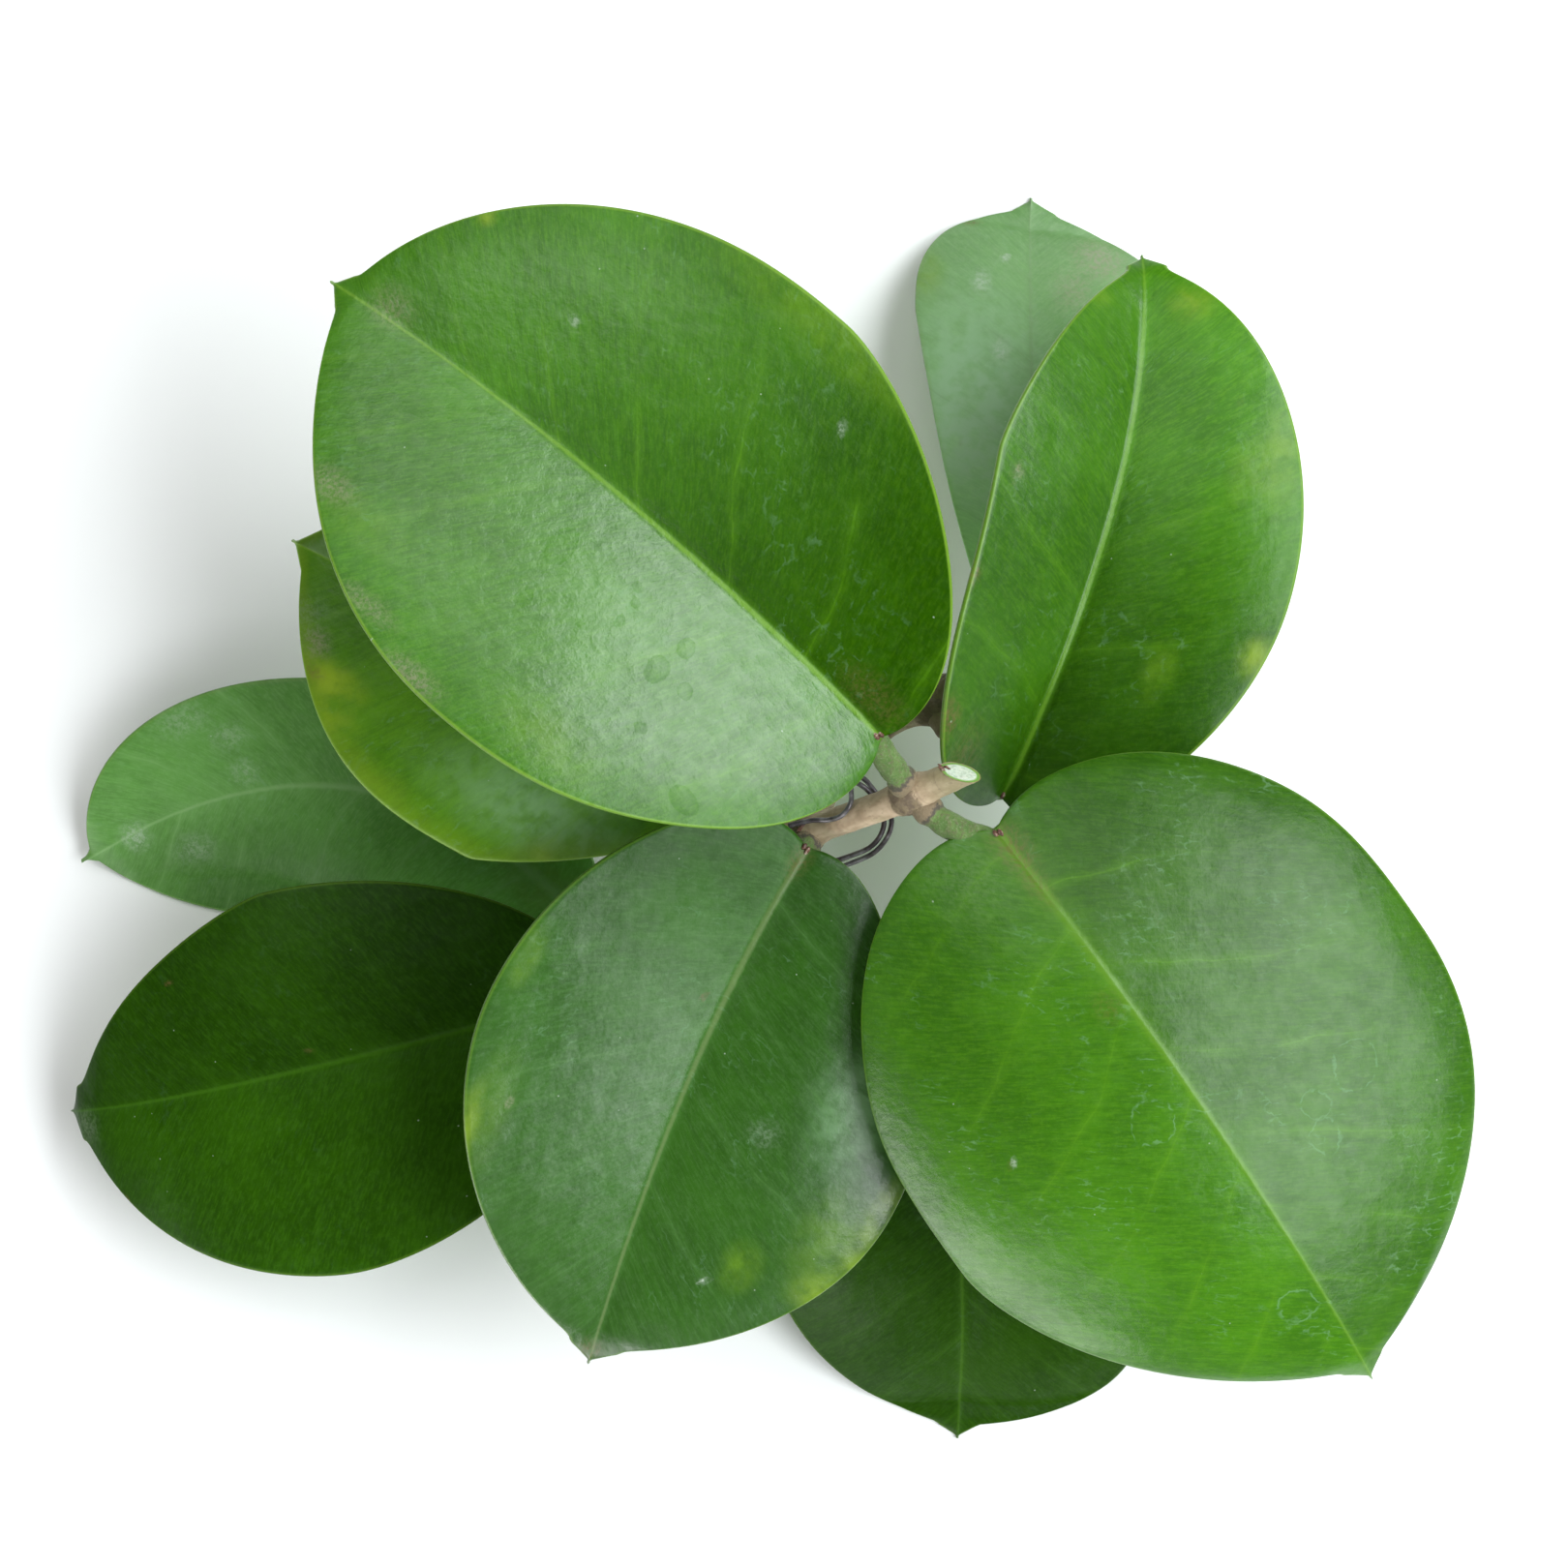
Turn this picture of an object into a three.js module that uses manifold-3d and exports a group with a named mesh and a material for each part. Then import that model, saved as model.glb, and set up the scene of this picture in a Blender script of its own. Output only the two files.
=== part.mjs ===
// A cut piece of a climbing hoya: nine thick leaves on two short shoots, laid down.
// Millimetres, +Z up. X and Y lie in the plane that the vine spreads in, and leaf tops face +Z.
// The origin is under the middle of the vine's outer box, on the surface it rests on.

import * as THREE from "three";
import { mergeVertices } from "three/addons/utils/BufferGeometryUtils.js";
import Module from "manifold-3d";

const wasm = await Module();
wasm.setup();

// Driving dimensions of the whole vine
const PLAN_CENTRE = [-4.3, -4.8];     // middle of the outer box, in the layout's own plan
const SEAT_SOFTNESS = 1.2;            // how gradually a blade lifts off the surface it lies on
const GAP = 0.3;                      // clearance between pieces that touch on the real vine

// Driving dimensions of every blade
const BLADE_THICK_MIDRIB = 1.5;
const BLADE_THICK_MARGIN = 0.8;
const MIDRIB_RIDGE = 0.9;             // how far the midrib stands out below
const MIDRIB_HALF_WIDTH = 1.5;
const SKIN_OFFSET = 0.02;             // keeps the two skins apart where the ridge has faded out
const BASE_HALF_WIDTH = 1.2;
const TIP_HALF_WIDTH = 0.25;
// A half power ends the outline round, more makes its end pointed
const BASE_END_POWER = 0.5;
const TIP_END_POWER = 0.7;
const WAVE_COUNT = 2.5;
const LOBE_ONSET = 4.5;               // distance from the midrib over which a base lobe sets in
const LOBE_LENGTH = 0.11;             // share of the length over which it fades out
const MARGIN_SIDE_SHIFT = 2;          // sets the waves of one margin off against the other, rad
const FRAME_LIMIT = 0.03;             // the two ends of a blade take their facing from this far in
const FRAME_STEP = 1e-3;              // step over which a facing is measured

// Rows run from base to tip, columns from the left margin over the midrib to the right margin
const ROWS = 18;
const HALF_COLUMNS = [0.07, 0.22, 0.48, 0.76, 1];

// Petioles and stems
const PETIOLE_SIDES = 8;
const PETIOLE_RADIUS_STEM = 2.0;
const PETIOLE_RADIUS_BLADE = 1.6;
const PETIOLE_RADIUS_END = 0.8;
const PETIOLE_JOINS_BLADE = 0.62;     // share of its length at which it reaches the blade
// Where it follows the midrib from below: share of the midrib, and how far below in mm
const PETIOLE_UNDER_BLADE = [[0.03, 0.88], [0.1, 0.32]];
const PETIOLE_STEPS = 10;
const STEM_SIDES = 12;
const FRONT_STEM_RADIUS = 2.0;
const SIDE_STEM_RADIUS = 1.55;
const NODE_SWELLING = 0.75;
const NODE_HALF_LENGTH = 2.6;
const WIRE_RADIUS = 0.35;
const WIRE_SIDES = 6;

// Joints on the shoots, in the layout's own plan and height
const NODE_UPPER = [16.9, -1.3, 50];
const NODE_MIDDLE = [2.9, -6.8, 36];
const NODE_LOWER = [1.3, -14.1, 17];
const NODE_BACK = [-14.9, -23.8, 11];
const NODE_SIDE = [20.6, 10.3, 22];

// Each leaf: midrib from base over middle to tip, in mm, and then its two sides.
// Left and right are as seen from above by something walking from base to tip.
// A side has its half width, where that is widest as a share of the length, how full it is
// towards base and tip, how far its base lobe reaches back, the angle it rises at near the
// base and near the tip, and the angle through which it bends back down.
const LEAVES = [
  {
    name: "leaf_front_upper",
    colour: "#4f8a3a",
    base: [12.3, 6.3, 60],
    middle: [-22.1, 37.9, 69],
    tip: [-58.7, 65.1, 62],
    left: { half: 37.5, widest: 0.47, baseFull: 2.2, tipFull: 2.2, lobe: 2.8, fold: [25, 14], bend: 12 },
    right: { half: 36, widest: 0.41, baseFull: 1.5, tipFull: 2.3, lobe: 1.8, fold: [30, 14], bend: 24 },
    cusp: 0.03, cuspWidth: 0.06, roll: [0, 0], wave: 0.4, wavePhase: 0.3,
    joint: NODE_UPPER, petiole: [13.4, 3.4, 55.5],
  },
  {
    name: "leaf_front_lower",
    colour: "#4a8a33",
    base: [28.1, -6.4, 52],
    middle: [55.7, -43.8, 57],
    tip: [78.8, -79.6, 40],
    left: { half: 39.4, widest: 0.48, baseFull: 3.3, tipFull: 2.2, lobe: 3.4, fold: [-6, -6], bend: 16 },
    right: { half: 40.5, widest: 0.53, baseFull: 3.8, tipFull: 1.8, lobe: 5, fold: [-2, -4], bend: 28 },
    cusp: 0.03, cuspWidth: 0.055, roll: [0, 0], wave: 0.4, wavePhase: 1.4,
    joint: NODE_UPPER, petiole: [21.6, -5.4, 50.5],
  },
  {
    name: "leaf_middle_lower",
    colour: "#47803b",
    base: [2.9, -8.6, 42],
    middle: [-12.6, -39, 41.5],
    tip: [-26.6, -78.6, 32],
    left: { half: 33.2, widest: 0.53, baseFull: 1.2, tipFull: 2.6, lobe: 2.2, fold: [11, 12], bend: 34 },
    right: { half: 30.1, widest: 0.52, baseFull: 1.8, tipFull: 2, lobe: 2.2, fold: [21, 19], bend: 8 },
    cusp: 0.03, cuspWidth: 0.06, roll: [0, 0], wave: 0.3, wavePhase: 2.1,
    joint: NODE_MIDDLE, petiole: [3.1, -8.3, 39],
  },
  {
    name: "leaf_middle_left",
    colour: "#4c7d2c",
    base: [-6.5, 0.5, 36],
    middle: [-34.9, 16.6, 40],
    tip: [-66.2, 32.8, 38],
    left: { half: 27.3, widest: 0.42, baseFull: 1.1, tipFull: 3, lobe: 1, fold: [0, 0], bend: 14 },
    right: { half: 26, widest: 0.5, baseFull: 2.1, tipFull: 2.6, lobe: 1, fold: [8, 8], bend: 14 },
    cusp: 0.035, cuspWidth: 0.07, roll: [0, 0], wave: 0.3, wavePhase: 0.9,
    joint: NODE_MIDDLE, petiole: [-2.4, -2.4, 36],
  },
  {
    name: "leaf_back_left",
    colour: "#4f8f38",
    base: [-27.0, -19.9, 12.5],
    middle: [-61.5, 0.0, 8.5],
    tip: [-99.8, -10.9, 2],
    left: { half: 23, widest: 0.55, baseFull: 2, tipFull: 3.62, lobe: 0, fold: [0, 0], bend: 24 },
    right: { half: 15.2, widest: 0.58, baseFull: 2, tipFull: 3.62, lobe: 0, fold: [4, 4], bend: 14 },
    cusp: 0.02, cuspWidth: 0.06, roll: [10, 24], wave: 0.3, wavePhase: 0.2,
    joint: NODE_BACK, petiole: [-21.2, -20.6, 11.0],
  },
  {
    name: "leaf_back_lower",
    colour: "#2f5f1c",
    base: [-25.5, -28.9, 20],
    middle: [-71.9, -40.7, 21],
    tip: [-100, -46, 8],
    left: { half: 29.3, widest: 0.43, baseFull: 1.9, tipFull: 1.7, lobe: 0, fold: [6, 6], bend: 18 },
    right: { half: 25.1, widest: 0.45, baseFull: 2.1, tipFull: 1.3, lobe: 0, fold: [6, 6], bend: 14 },
    cusp: 0.045, cuspWidth: 0.09, roll: [0, 0], wave: 0.3, wavePhase: 1.9,
    joint: NODE_BACK, petiole: [-20.2, -28.3, 15.0],
  },
  {
    name: "leaf_side_folded",
    colour: "#468a30",
    base: [29.6, -1.4, 28],
    middle: [44.7, 39, 36],
    tip: [48.8, 71.9, 30],
    left: { half: 21.4, widest: 0.54, baseFull: 5, tipFull: 1.3, lobe: 3.5, fold: [50, 30], bend: 10 },
    right: { half: 27.1, widest: 0.41, baseFull: 1.9, tipFull: 1.9, lobe: 2, fold: [36, 22], bend: 40 },
    cusp: 0.035, cuspWidth: 0.07, roll: [-4, 0], wave: 0.3, wavePhase: 0.6,
    joint: NODE_SIDE, petiole: [25.6, 4.8, 24.5],
  },
  {
    name: "leaf_side_back",
    colour: "#6f9a63",
    base: [36.4, 12.1, 16],
    middle: [34.4, 47.8, 20],
    tip: [35.2, 83.5, -6],
    left: { half: 16.1, widest: 0.78, baseFull: 1, tipFull: 3.4, lobe: 0, fold: [10, 10], bend: 20 },
    right: { half: 23.4, widest: 0.67, baseFull: 1.8, tipFull: 3, lobe: 0, fold: [0, 0], bend: 16 },
    cusp: 0.03, cuspWidth: 0.08, roll: [0, 0], wave: 0.3, wavePhase: 2.7,
    joint: NODE_SIDE, petiole: [23.2, 13.6, 21],
  },
  {
    name: "leaf_under",
    colour: "#2f6420",
    base: [17.6, -25.5, 13],
    middle: [24, -58.8, 17],
    tip: [24.7, -93.2, -6],
    left: { half: 26.1, widest: 0.66, baseFull: 1.9, tipFull: 4.4, lobe: 0, fold: [6, 6], bend: 20 },
    right: { half: 27, widest: 0.5, baseFull: 1.9, tipFull: 2.9, lobe: 0, fold: [6, 6], bend: 20 },
    cusp: 0.03, cuspWidth: 0.07, roll: [0, 0], wave: 0.3, wavePhase: 0.0,
    joint: NODE_LOWER, petiole: [10.0, -19.4, 15],
  },
];

const FRONT_STEM = {
  name: "stem_front_shoot",
  colour: "#a89a72",
  path: [
    [25.4, 2.6, 58], NODE_UPPER, [9.8, -4.1, 43], NODE_MIDDLE,
    [1.6, -10.2, 27], NODE_LOWER, [-6.4, -19.6, 13], NODE_BACK, [-20.6, -25.0, 9],
  ],
  nodes: [NODE_UPPER, NODE_MIDDLE, NODE_LOWER, NODE_BACK],
  radius: FRONT_STEM_RADIUS,
  steps: 48,
};
const CUT_POINT = [22.8, 1.5, 55.9];  // middle of the slanting cut
const CUT_FACING = [0.1, 0.82, 0.56]; // the way the cut face looks

const SIDE_STEM = {
  name: "stem_side_shoot",
  colour: "#8a7356",
  path: [
    [1.3, -14.1, 17], [3.8, -6.7, 16], [8.0, 1.8, 18], [14.2, 7.8, 20.5], NODE_SIDE,
    [27.0, 9.8, 20.5],
  ],
  nodes: [NODE_SIDE],
  radius: SIDE_STEM_RADIUS,
  steps: 26,
};

// The loose wire: once round the internode over its front, then a second, wider turn
const WIRE = {
  name: "wire_tie",
  colour: "#4a4a50",
  path: [
    [0.6, -5.6, 41.9], [3.6, -4.9, 42.3], [6.0, -4.8, 43.3], [7.8, -4.1, 45.1], [8.9, -2.4, 45.4],
    [9.0, -0.4, 42.4], [9.6, 0.2, 39.6], [11.3, -0.9, 38.6], [12.9, -3.2, 39.6],
    [13.4, -5.0, 41.5], [12.9, -6.9, 42], [11.5, -8.5, 41.5], [9.1, -9.6, 39],
    [6.3, -10.6, 36], [3.4, -11.5, 34.0], [-0.2, -10.7, 33.4], [-1.8, -7.5, 36.2], [-0.7, -4.6, 41],
    [2.1, -2.6, 47], [5.4, -0.5, 46.5], [8.8, 1.0, 42], [10.6, 0.8, 38.8], [12.4, -1.2, 37.4],
    [14.1, -3.5, 40], [14.4, -5.4, 41.7], [13.6, -7.5, 42.1], [11.9, -9.3, 41.4],
    [9.2, -10.6, 38.4], [6.1, -11.7, 35.2], [3.0, -12.5, 32.4], [-0.8, -11.8, 31.4],
  ],
  steps: 76,
};

const settle = (z) => {
  if (z <= -SEAT_SOFTNESS) return 0;
  if (z >= SEAT_SOFTNESS) return z;
  return (z + SEAT_SOFTNESS) ** 2 / (4 * SEAT_SOFTNESS);
};

const vector = ([x, y, z]) => new THREE.Vector3(x, y, z);
const radians = THREE.MathUtils.degToRad;
const blend = ([start, end], along) => start + (end - start) * along;

// Midrib of a leaf as one quadratic curve through base, middle and tip
function midribCurve(leaf) {
  const base = vector(leaf.base);
  const tip = vector(leaf.tip);
  const bow = vector(leaf.middle).multiplyScalar(2).addScaledVector(base, -0.5).addScaledVector(tip, -0.5);
  return new THREE.QuadraticBezierCurve3(base, bow, tip);
}

// Share of the full half width at a place along the midrib: a round body and a drawn-out tip
function outlineShare(leaf, half, along) {
  const place = Math.min(along / (1 - leaf.cusp), 1);
  const towardsBase = place < half.widest;
  const run = towardsBase ? half.widest : 1 - half.widest;
  const full = towardsBase ? half.baseFull : half.tipFull;
  const power = towardsBase ? BASE_END_POWER : TIP_END_POWER;
  const body = Math.max(0, 1 - (Math.abs(place - half.widest) / run) ** full) ** power;
  const fromTip = (1 - along) / leaf.cusp;
  const point = leaf.cuspWidth * fromTip ** 2 * Math.exp(2 * (1 - fromTip));
  return Math.cbrt(body ** 3 + point ** 3);
}

// Sideways and upward reach of an arc that starts at an angle and bends back down
function arcReach(width, startAngle, bend) {
  if (Math.abs(bend) < 1e-4) return [width * Math.cos(startAngle), width * Math.sin(startAngle)];
  const side = (width * (Math.sin(startAngle) - Math.sin(startAngle - bend))) / bend;
  const up = (width * (Math.cos(startAngle - bend) - Math.cos(startAngle))) / bend;
  return [side, up];
}

// A point of the blade's under side; across runs from -1 at the left margin to 1 at the right
function bladePoint(leaf, curve, along, across) {
  const half = across < 0 ? leaf.left : leaf.right;
  const outwards = across < 0 ? -1 : 1;
  const reach = Math.abs(across);

  const tangent = curve.getTangent(along);
  const level = new THREE.Vector3().crossVectors(tangent, new THREE.Vector3(0, 0, 1)).normalize();
  const upright = new THREE.Vector3().crossVectors(level, tangent);
  const roll = radians(blend(leaf.roll, along));
  const side = level.clone().multiplyScalar(Math.cos(roll)).addScaledVector(upright, Math.sin(roll));
  const up = upright.multiplyScalar(Math.cos(roll)).addScaledVector(level, -Math.sin(roll));

  const share = outlineShare(leaf, half, along);
  const endWidth = along < 0.5 ? BASE_HALF_WIDTH : TIP_HALF_WIDTH;
  const halfWidth = Math.max(share * half.half, endWidth);
  const bend = radians(half.bend) * share * reach;
  const [out, rise] = arcReach(halfWidth * reach, radians(blend(half.fold, along)), bend);
  const wave = leaf.wave * reach ** 2 * Math.sin(Math.PI * along)
    * Math.sin(2 * Math.PI * WAVE_COUNT * along + leaf.wavePhase + (across < 0 ? MARGIN_SIDE_SHIFT : 0));
  const lobe = half.lobe * (1 - Math.exp(-(halfWidth * reach) / LOBE_ONSET))
    * Math.exp(-((along / LOBE_LENGTH) ** 2));

  const point = curve.getPoint(along)
    .addScaledVector(side, out * outwards)
    .addScaledVector(up, rise + wave)
    .addScaledVector(curve.getTangent(0), -lobe);
  point.z = settle(point.z);
  return point;
}

// The way the blade's upper side looks at one of its points
function bladeFacing(leaf, curve, along, across) {
  const row = THREE.MathUtils.clamp(along, FRAME_LIMIT, 1 - FRAME_LIMIT);
  const column = THREE.MathUtils.clamp(across, -1 + FRAME_STEP, 1 - FRAME_STEP);
  const lengthwise = bladePoint(leaf, curve, row + FRAME_STEP, column)
    .sub(bladePoint(leaf, curve, row - FRAME_STEP, column));
  const crosswise = bladePoint(leaf, curve, row, column + FRAME_STEP)
    .sub(bladePoint(leaf, curve, row, column - FRAME_STEP));
  return crosswise.cross(lengthwise).normalize();
}

// Turns a closed triangle mesh into a solid that can be joined and cut
function toSolid(positions, triangles) {
  const geometry = new THREE.BufferGeometry();
  geometry.setAttribute("position", new THREE.Float32BufferAttribute(positions, 3));
  geometry.setIndex(triangles);
  const merged = mergeVertices(geometry, 1e-5);
  return new wasm.Manifold(new wasm.Mesh({
    numProp: 3,
    vertProperties: new Float32Array(merged.attributes.position.array),
    triVerts: new Uint32Array(merged.index.array),
  }));
}

function toMesh(solid, name, colour, roughness, metalness) {
  const raw = solid.getMesh();
  const geometry = new THREE.BufferGeometry();
  geometry.setAttribute("position", new THREE.Float32BufferAttribute(raw.vertProperties, 3));
  geometry.setIndex(Array.from(raw.triVerts));
  const material = new THREE.MeshStandardMaterial({ color: colour, roughness, metalness });
  const mesh = new THREE.Mesh(geometry, material);
  mesh.name = name;
  return mesh;
}

// The largest of the bodies that a cut leaves
function largestBody(solid) {
  return solid.decompose().reduce((best, body) => (body.volume() > best.volume() ? body : best));
}

// Rows of the blade close up towards the round base and the tip
const rowPlace = (row) => (1 - Math.cos((Math.PI * row) / ROWS)) / 2;
const COLUMNS = [...HALF_COLUMNS.map((c) => -c).reverse(), 0, ...HALF_COLUMNS];

// The blade: an upper and a lower skin split alike, joined round the margin
function bladeSolid(leaf) {
  const curve = midribCurve(leaf);
  const across = COLUMNS.length;
  const upper = [];
  const lower = [];
  for (let row = 0; row <= ROWS; row += 1) {
    const along = rowPlace(row);
    for (const column of COLUMNS) {
      const point = bladePoint(leaf, curve, along, column);
      const normal = bladeFacing(leaf, curve, along, column);
      const thick = THREE.MathUtils.lerp(BLADE_THICK_MIDRIB, BLADE_THICK_MARGIN, Math.abs(column));
      const top = point.clone().addScaledVector(normal, thick);
      const half = column < 0 ? leaf.left : leaf.right;
      const halfWidth = outlineShare(leaf, half, along) * half.half;
      const fromMidrib = (Math.abs(column) * halfWidth) / MIDRIB_HALF_WIDTH;
      const ridge = MIDRIB_RIDGE * (1 - along) * Math.exp(-(fromMidrib ** 2)) + SKIN_OFFSET;
      point.addScaledVector(normal, -ridge);
      point.z = Math.max(point.z, 0);
      upper.push(top.x, top.y, top.z);
      lower.push(point.x, point.y, point.z);
    }
  }
  const positions = [...upper, ...lower];
  const below = (ROWS + 1) * across;
  const triangles = [];
  for (let row = 0; row < ROWS; row += 1) {
    for (let column = 0; column < across - 1; column += 1) {
      const a = row * across + column;
      const [b, c, d] = [a + 1, a + across + 1, a + across];
      triangles.push(a, b, c, a, c, d);
      triangles.push(below + a, below + c, below + b, below + a, below + d, below + c);
    }
  }
  const ring = [];
  for (let column = 0; column < across - 1; column += 1) ring.push(column);
  for (let row = 0; row < ROWS; row += 1) ring.push(row * across + across - 1);
  for (let column = across - 1; column > 0; column -= 1) ring.push(ROWS * across + column);
  for (let row = ROWS; row > 0; row -= 1) ring.push(row * across);
  ring.forEach((a, index) => {
    const b = ring[(index + 1) % ring.length];
    triangles.push(a, below + a, b, b, below + a, below + b);
  });
  return toSolid(positions, triangles);
}

// A closed tube round a curve, with a radius that may change along it
function tubeSolid(curve, steps, sides, radiusAt) {
  const frames = curve.computeFrenetFrames(steps, false);
  const positions = [];
  const triangles = [];
  for (let step = 0; step <= steps; step += 1) {
    const along = step / steps;
    const centre = curve.getPointAt(along);
    const radius = radiusAt(along, centre);
    for (let side = 0; side < sides; side += 1) {
      const angle = (2 * Math.PI * side) / sides;
      const point = centre.clone()
        .addScaledVector(frames.normals[step], radius * Math.cos(angle))
        .addScaledVector(frames.binormals[step], radius * Math.sin(angle));
      positions.push(point.x, point.y, point.z);
    }
  }
  for (let step = 0; step < steps; step += 1) {
    for (let side = 0; side < sides; side += 1) {
      const a = step * sides + side;
      const b = step * sides + ((side + 1) % sides);
      triangles.push(a, b, b + sides, a, b + sides, a + sides);
    }
  }
  const last = steps * sides;
  for (let side = 1; side < sides - 1; side += 1) {
    triangles.push(0, side + 1, side);
    triangles.push(last, last + side, last + side + 1);
  }
  return toSolid(positions, triangles);
}

const smoothCurve = (points) => new THREE.CatmullRomCurve3(points.map(vector), false, "catmullrom", 0.5);

// A shoot: a round stem that swells at each of its nodes
function stemSolid(stem, extra) {
  const centres = stem.nodes.map(vector);
  const swelling = (distance) => NODE_SWELLING * Math.exp(-((distance / NODE_HALF_LENGTH) ** 2));
  const radiusAt = (along, centre) => centres.reduce(
    (radius, node) => radius + swelling(centre.distanceTo(node)),
    stem.radius + extra,
  );
  return tubeSolid(smoothCurve(stem.path), stem.steps, STEM_SIDES, radiusAt);
}

// A block that takes away everything past a slanting plane
function blockBeyond(point, facing) {
  const size = 40;
  const geometry = new THREE.BoxGeometry(size, size, size);
  geometry.deleteAttribute("normal");
  geometry.deleteAttribute("uv");
  const direction = vector(facing).normalize();
  const turn = new THREE.Quaternion().setFromUnitVectors(new THREE.Vector3(0, 0, 1), direction);
  geometry.applyQuaternion(turn);
  const centre = vector(point).addScaledVector(direction, size / 2);
  geometry.translate(centre.x, centre.y, centre.z);
  return toSolid(geometry.attributes.position.array, Array.from(geometry.index.array));
}

// The petiole runs from inside the stem to the blade and on below the midrib
function petioleSolid(leaf) {
  const curve = midribCurve(leaf);
  const under = PETIOLE_UNDER_BLADE.map(([along, below]) => {
    const { x, y, z } = curve.getPoint(along);
    return [x, y, z - below];
  });
  const radiusAt = (along) => {
    if (along < PETIOLE_JOINS_BLADE) {
      const free = along / PETIOLE_JOINS_BLADE;
      return THREE.MathUtils.lerp(PETIOLE_RADIUS_STEM, PETIOLE_RADIUS_BLADE, free);
    }
    const hidden = (along - PETIOLE_JOINS_BLADE) / (1 - PETIOLE_JOINS_BLADE);
    return THREE.MathUtils.lerp(PETIOLE_RADIUS_BLADE, PETIOLE_RADIUS_END, hidden);
  };
  const path = smoothCurve([leaf.joint, leaf.petiole, ...under]);
  return tubeSolid(path, PETIOLE_STEPS, PETIOLE_SIDES, radiusAt);
}

const cutBlock = blockBeyond(CUT_POINT, CUT_FACING);
const frontStem = stemSolid(FRONT_STEM, 0).subtract(cutBlock);
const frontClearance = stemSolid(FRONT_STEM, GAP);
const sideStem = largestBody(stemSolid(SIDE_STEM, 0).subtract(frontClearance));
const sideClearance = stemSolid(SIDE_STEM, GAP);

// A leaf: blade and petiole grown as one, trimmed clear of the stem that it comes from
function leafMesh(leaf) {
  const clearance = leaf.joint === NODE_SIDE ? sideClearance : frontClearance;
  const grown = bladeSolid(leaf).add(petioleSolid(leaf)).subtract(clearance);
  return toMesh(largestBody(grown), leaf.name, leaf.colour, 0.45, 0);
}

function wireMesh() {
  const solid = tubeSolid(smoothCurve(WIRE.path), WIRE.steps, WIRE_SIDES, () => WIRE_RADIUS);
  return toMesh(solid, WIRE.name, WIRE.colour, 0.4, 0.9);
}

const vine = new THREE.Group();
vine.position.set(-PLAN_CENTRE[0], -PLAN_CENTRE[1], 0);
vine.add(toMesh(frontStem, FRONT_STEM.name, FRONT_STEM.colour, 0.8, 0));
vine.add(toMesh(sideStem, SIDE_STEM.name, SIDE_STEM.colour, 0.8, 0));
vine.add(...LEAVES.map(leafMesh));
vine.add(wireMesh());

const part = new THREE.Group();
part.add(vine);

export default part;
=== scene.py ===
import math

import bmesh
import bpy
import numpy as np
from mathutils import Matrix, Vector, noise


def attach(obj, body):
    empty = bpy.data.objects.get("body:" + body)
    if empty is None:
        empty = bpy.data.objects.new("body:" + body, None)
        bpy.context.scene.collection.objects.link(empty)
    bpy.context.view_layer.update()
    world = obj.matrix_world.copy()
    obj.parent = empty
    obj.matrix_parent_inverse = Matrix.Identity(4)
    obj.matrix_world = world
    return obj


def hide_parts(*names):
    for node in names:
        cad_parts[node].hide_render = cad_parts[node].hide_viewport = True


# Looks of a cut piece of a climbing hoya: nine thick waxy leaves on two short shoots, laid down.
# Shapes are worked out in millimetres, in the layout's own plan, and become metres in the row frame.

MM = 0.001
PLAN_CENTRE = np.array([-4.3, -4.8, 0.0])
CURVE_STEPS = 40             # between two points of a curve

# The blade's dimensions, as in the CAD model
SEAT_SOFTNESS = 1.2
THICK_MIDRIB = 1.5
THICK_MARGIN = 0.8
MIDRIB_RIDGE = 0.9
MIDRIB_HALF_WIDTH = 1.5
SKIN_OFFSET = 0.02
BASE_HALF_WIDTH = 1.2
TIP_HALF_WIDTH = 0.25
BASE_END_POWER = 0.5         # a half ends the blade round, more makes its end pointed
TIP_END_POWER = 0.7
TIP_HOLLOW = 1.25            # above 1 the outline runs hollow into the drawn-out tip
WAVE_COUNT = 2.5
LOBE_ONSET = 4.5
LOBE_LENGTH = 0.11
MARGIN_SIDE_SHIFT = 2.0
FRAME_LIMIT = 0.03
FRAME_STEP = 1e-3

# What the look adds to a blade
BLADE_ROWS_PER_MM = 1.6
BLADE_COLUMNS_PER_MM = 1.5
COLUMN_CROWDING = 1.3        # above 1 the columns crowd towards the midrib
RIM_REACH = 0.27             # how far the rounded margin stands out from the skins
RIM_ANGLES = (58, 20, -20, -58)
CREASE_ROUNDING = 0.9        # how far from the midrib the crease between the halves is rounded
CREASE_REACH = 4.0           # how far from it the upper skin's directions are evened out
GROOVE_DEPTH = 0.12          # above, the midrib is a fine ridge in a shallow groove
GROOVE_HALF_WIDTH = 1.3
RIDGE_HEIGHT = 0.1
RIDGE_HALF_WIDTH = 0.38
TIP_THINNING = 0.5
SWELL_SIZE = 21.0            # broad unevenness of the whole blade
SWELL_DEPTH = 0.3
PILLOW_SIZE = 5.5            # fine unevenness of the upper skin
PILLOW_DEPTH = 0.09
CURL_FROM = 0.8              # share of the half width from which a margin curls down

# Petioles and shoots
PETIOLE_RADIUS_STEM = 2.0
PETIOLE_RADIUS_BLADE = 1.6
PETIOLE_RADIUS_END = 0.8
PETIOLE_JOINS_BLADE = 0.62
PETIOLE_UNDER_BLADE = ((0.03, 0.88), (0.1, 0.32))
PETIOLE_RINGS = ((0.22, 3.2, 0.8), (-0.16, 4.6, 0.6))    # rise, distance from the joint, width
FRONT_STEM_RADIUS = 2.0
SIDE_STEM_RADIUS = 1.55
NODE_SWELLING = 0.75
NODE_HALF_LENGTH = 2.6
WIRE_RADIUS = 0.35

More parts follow.
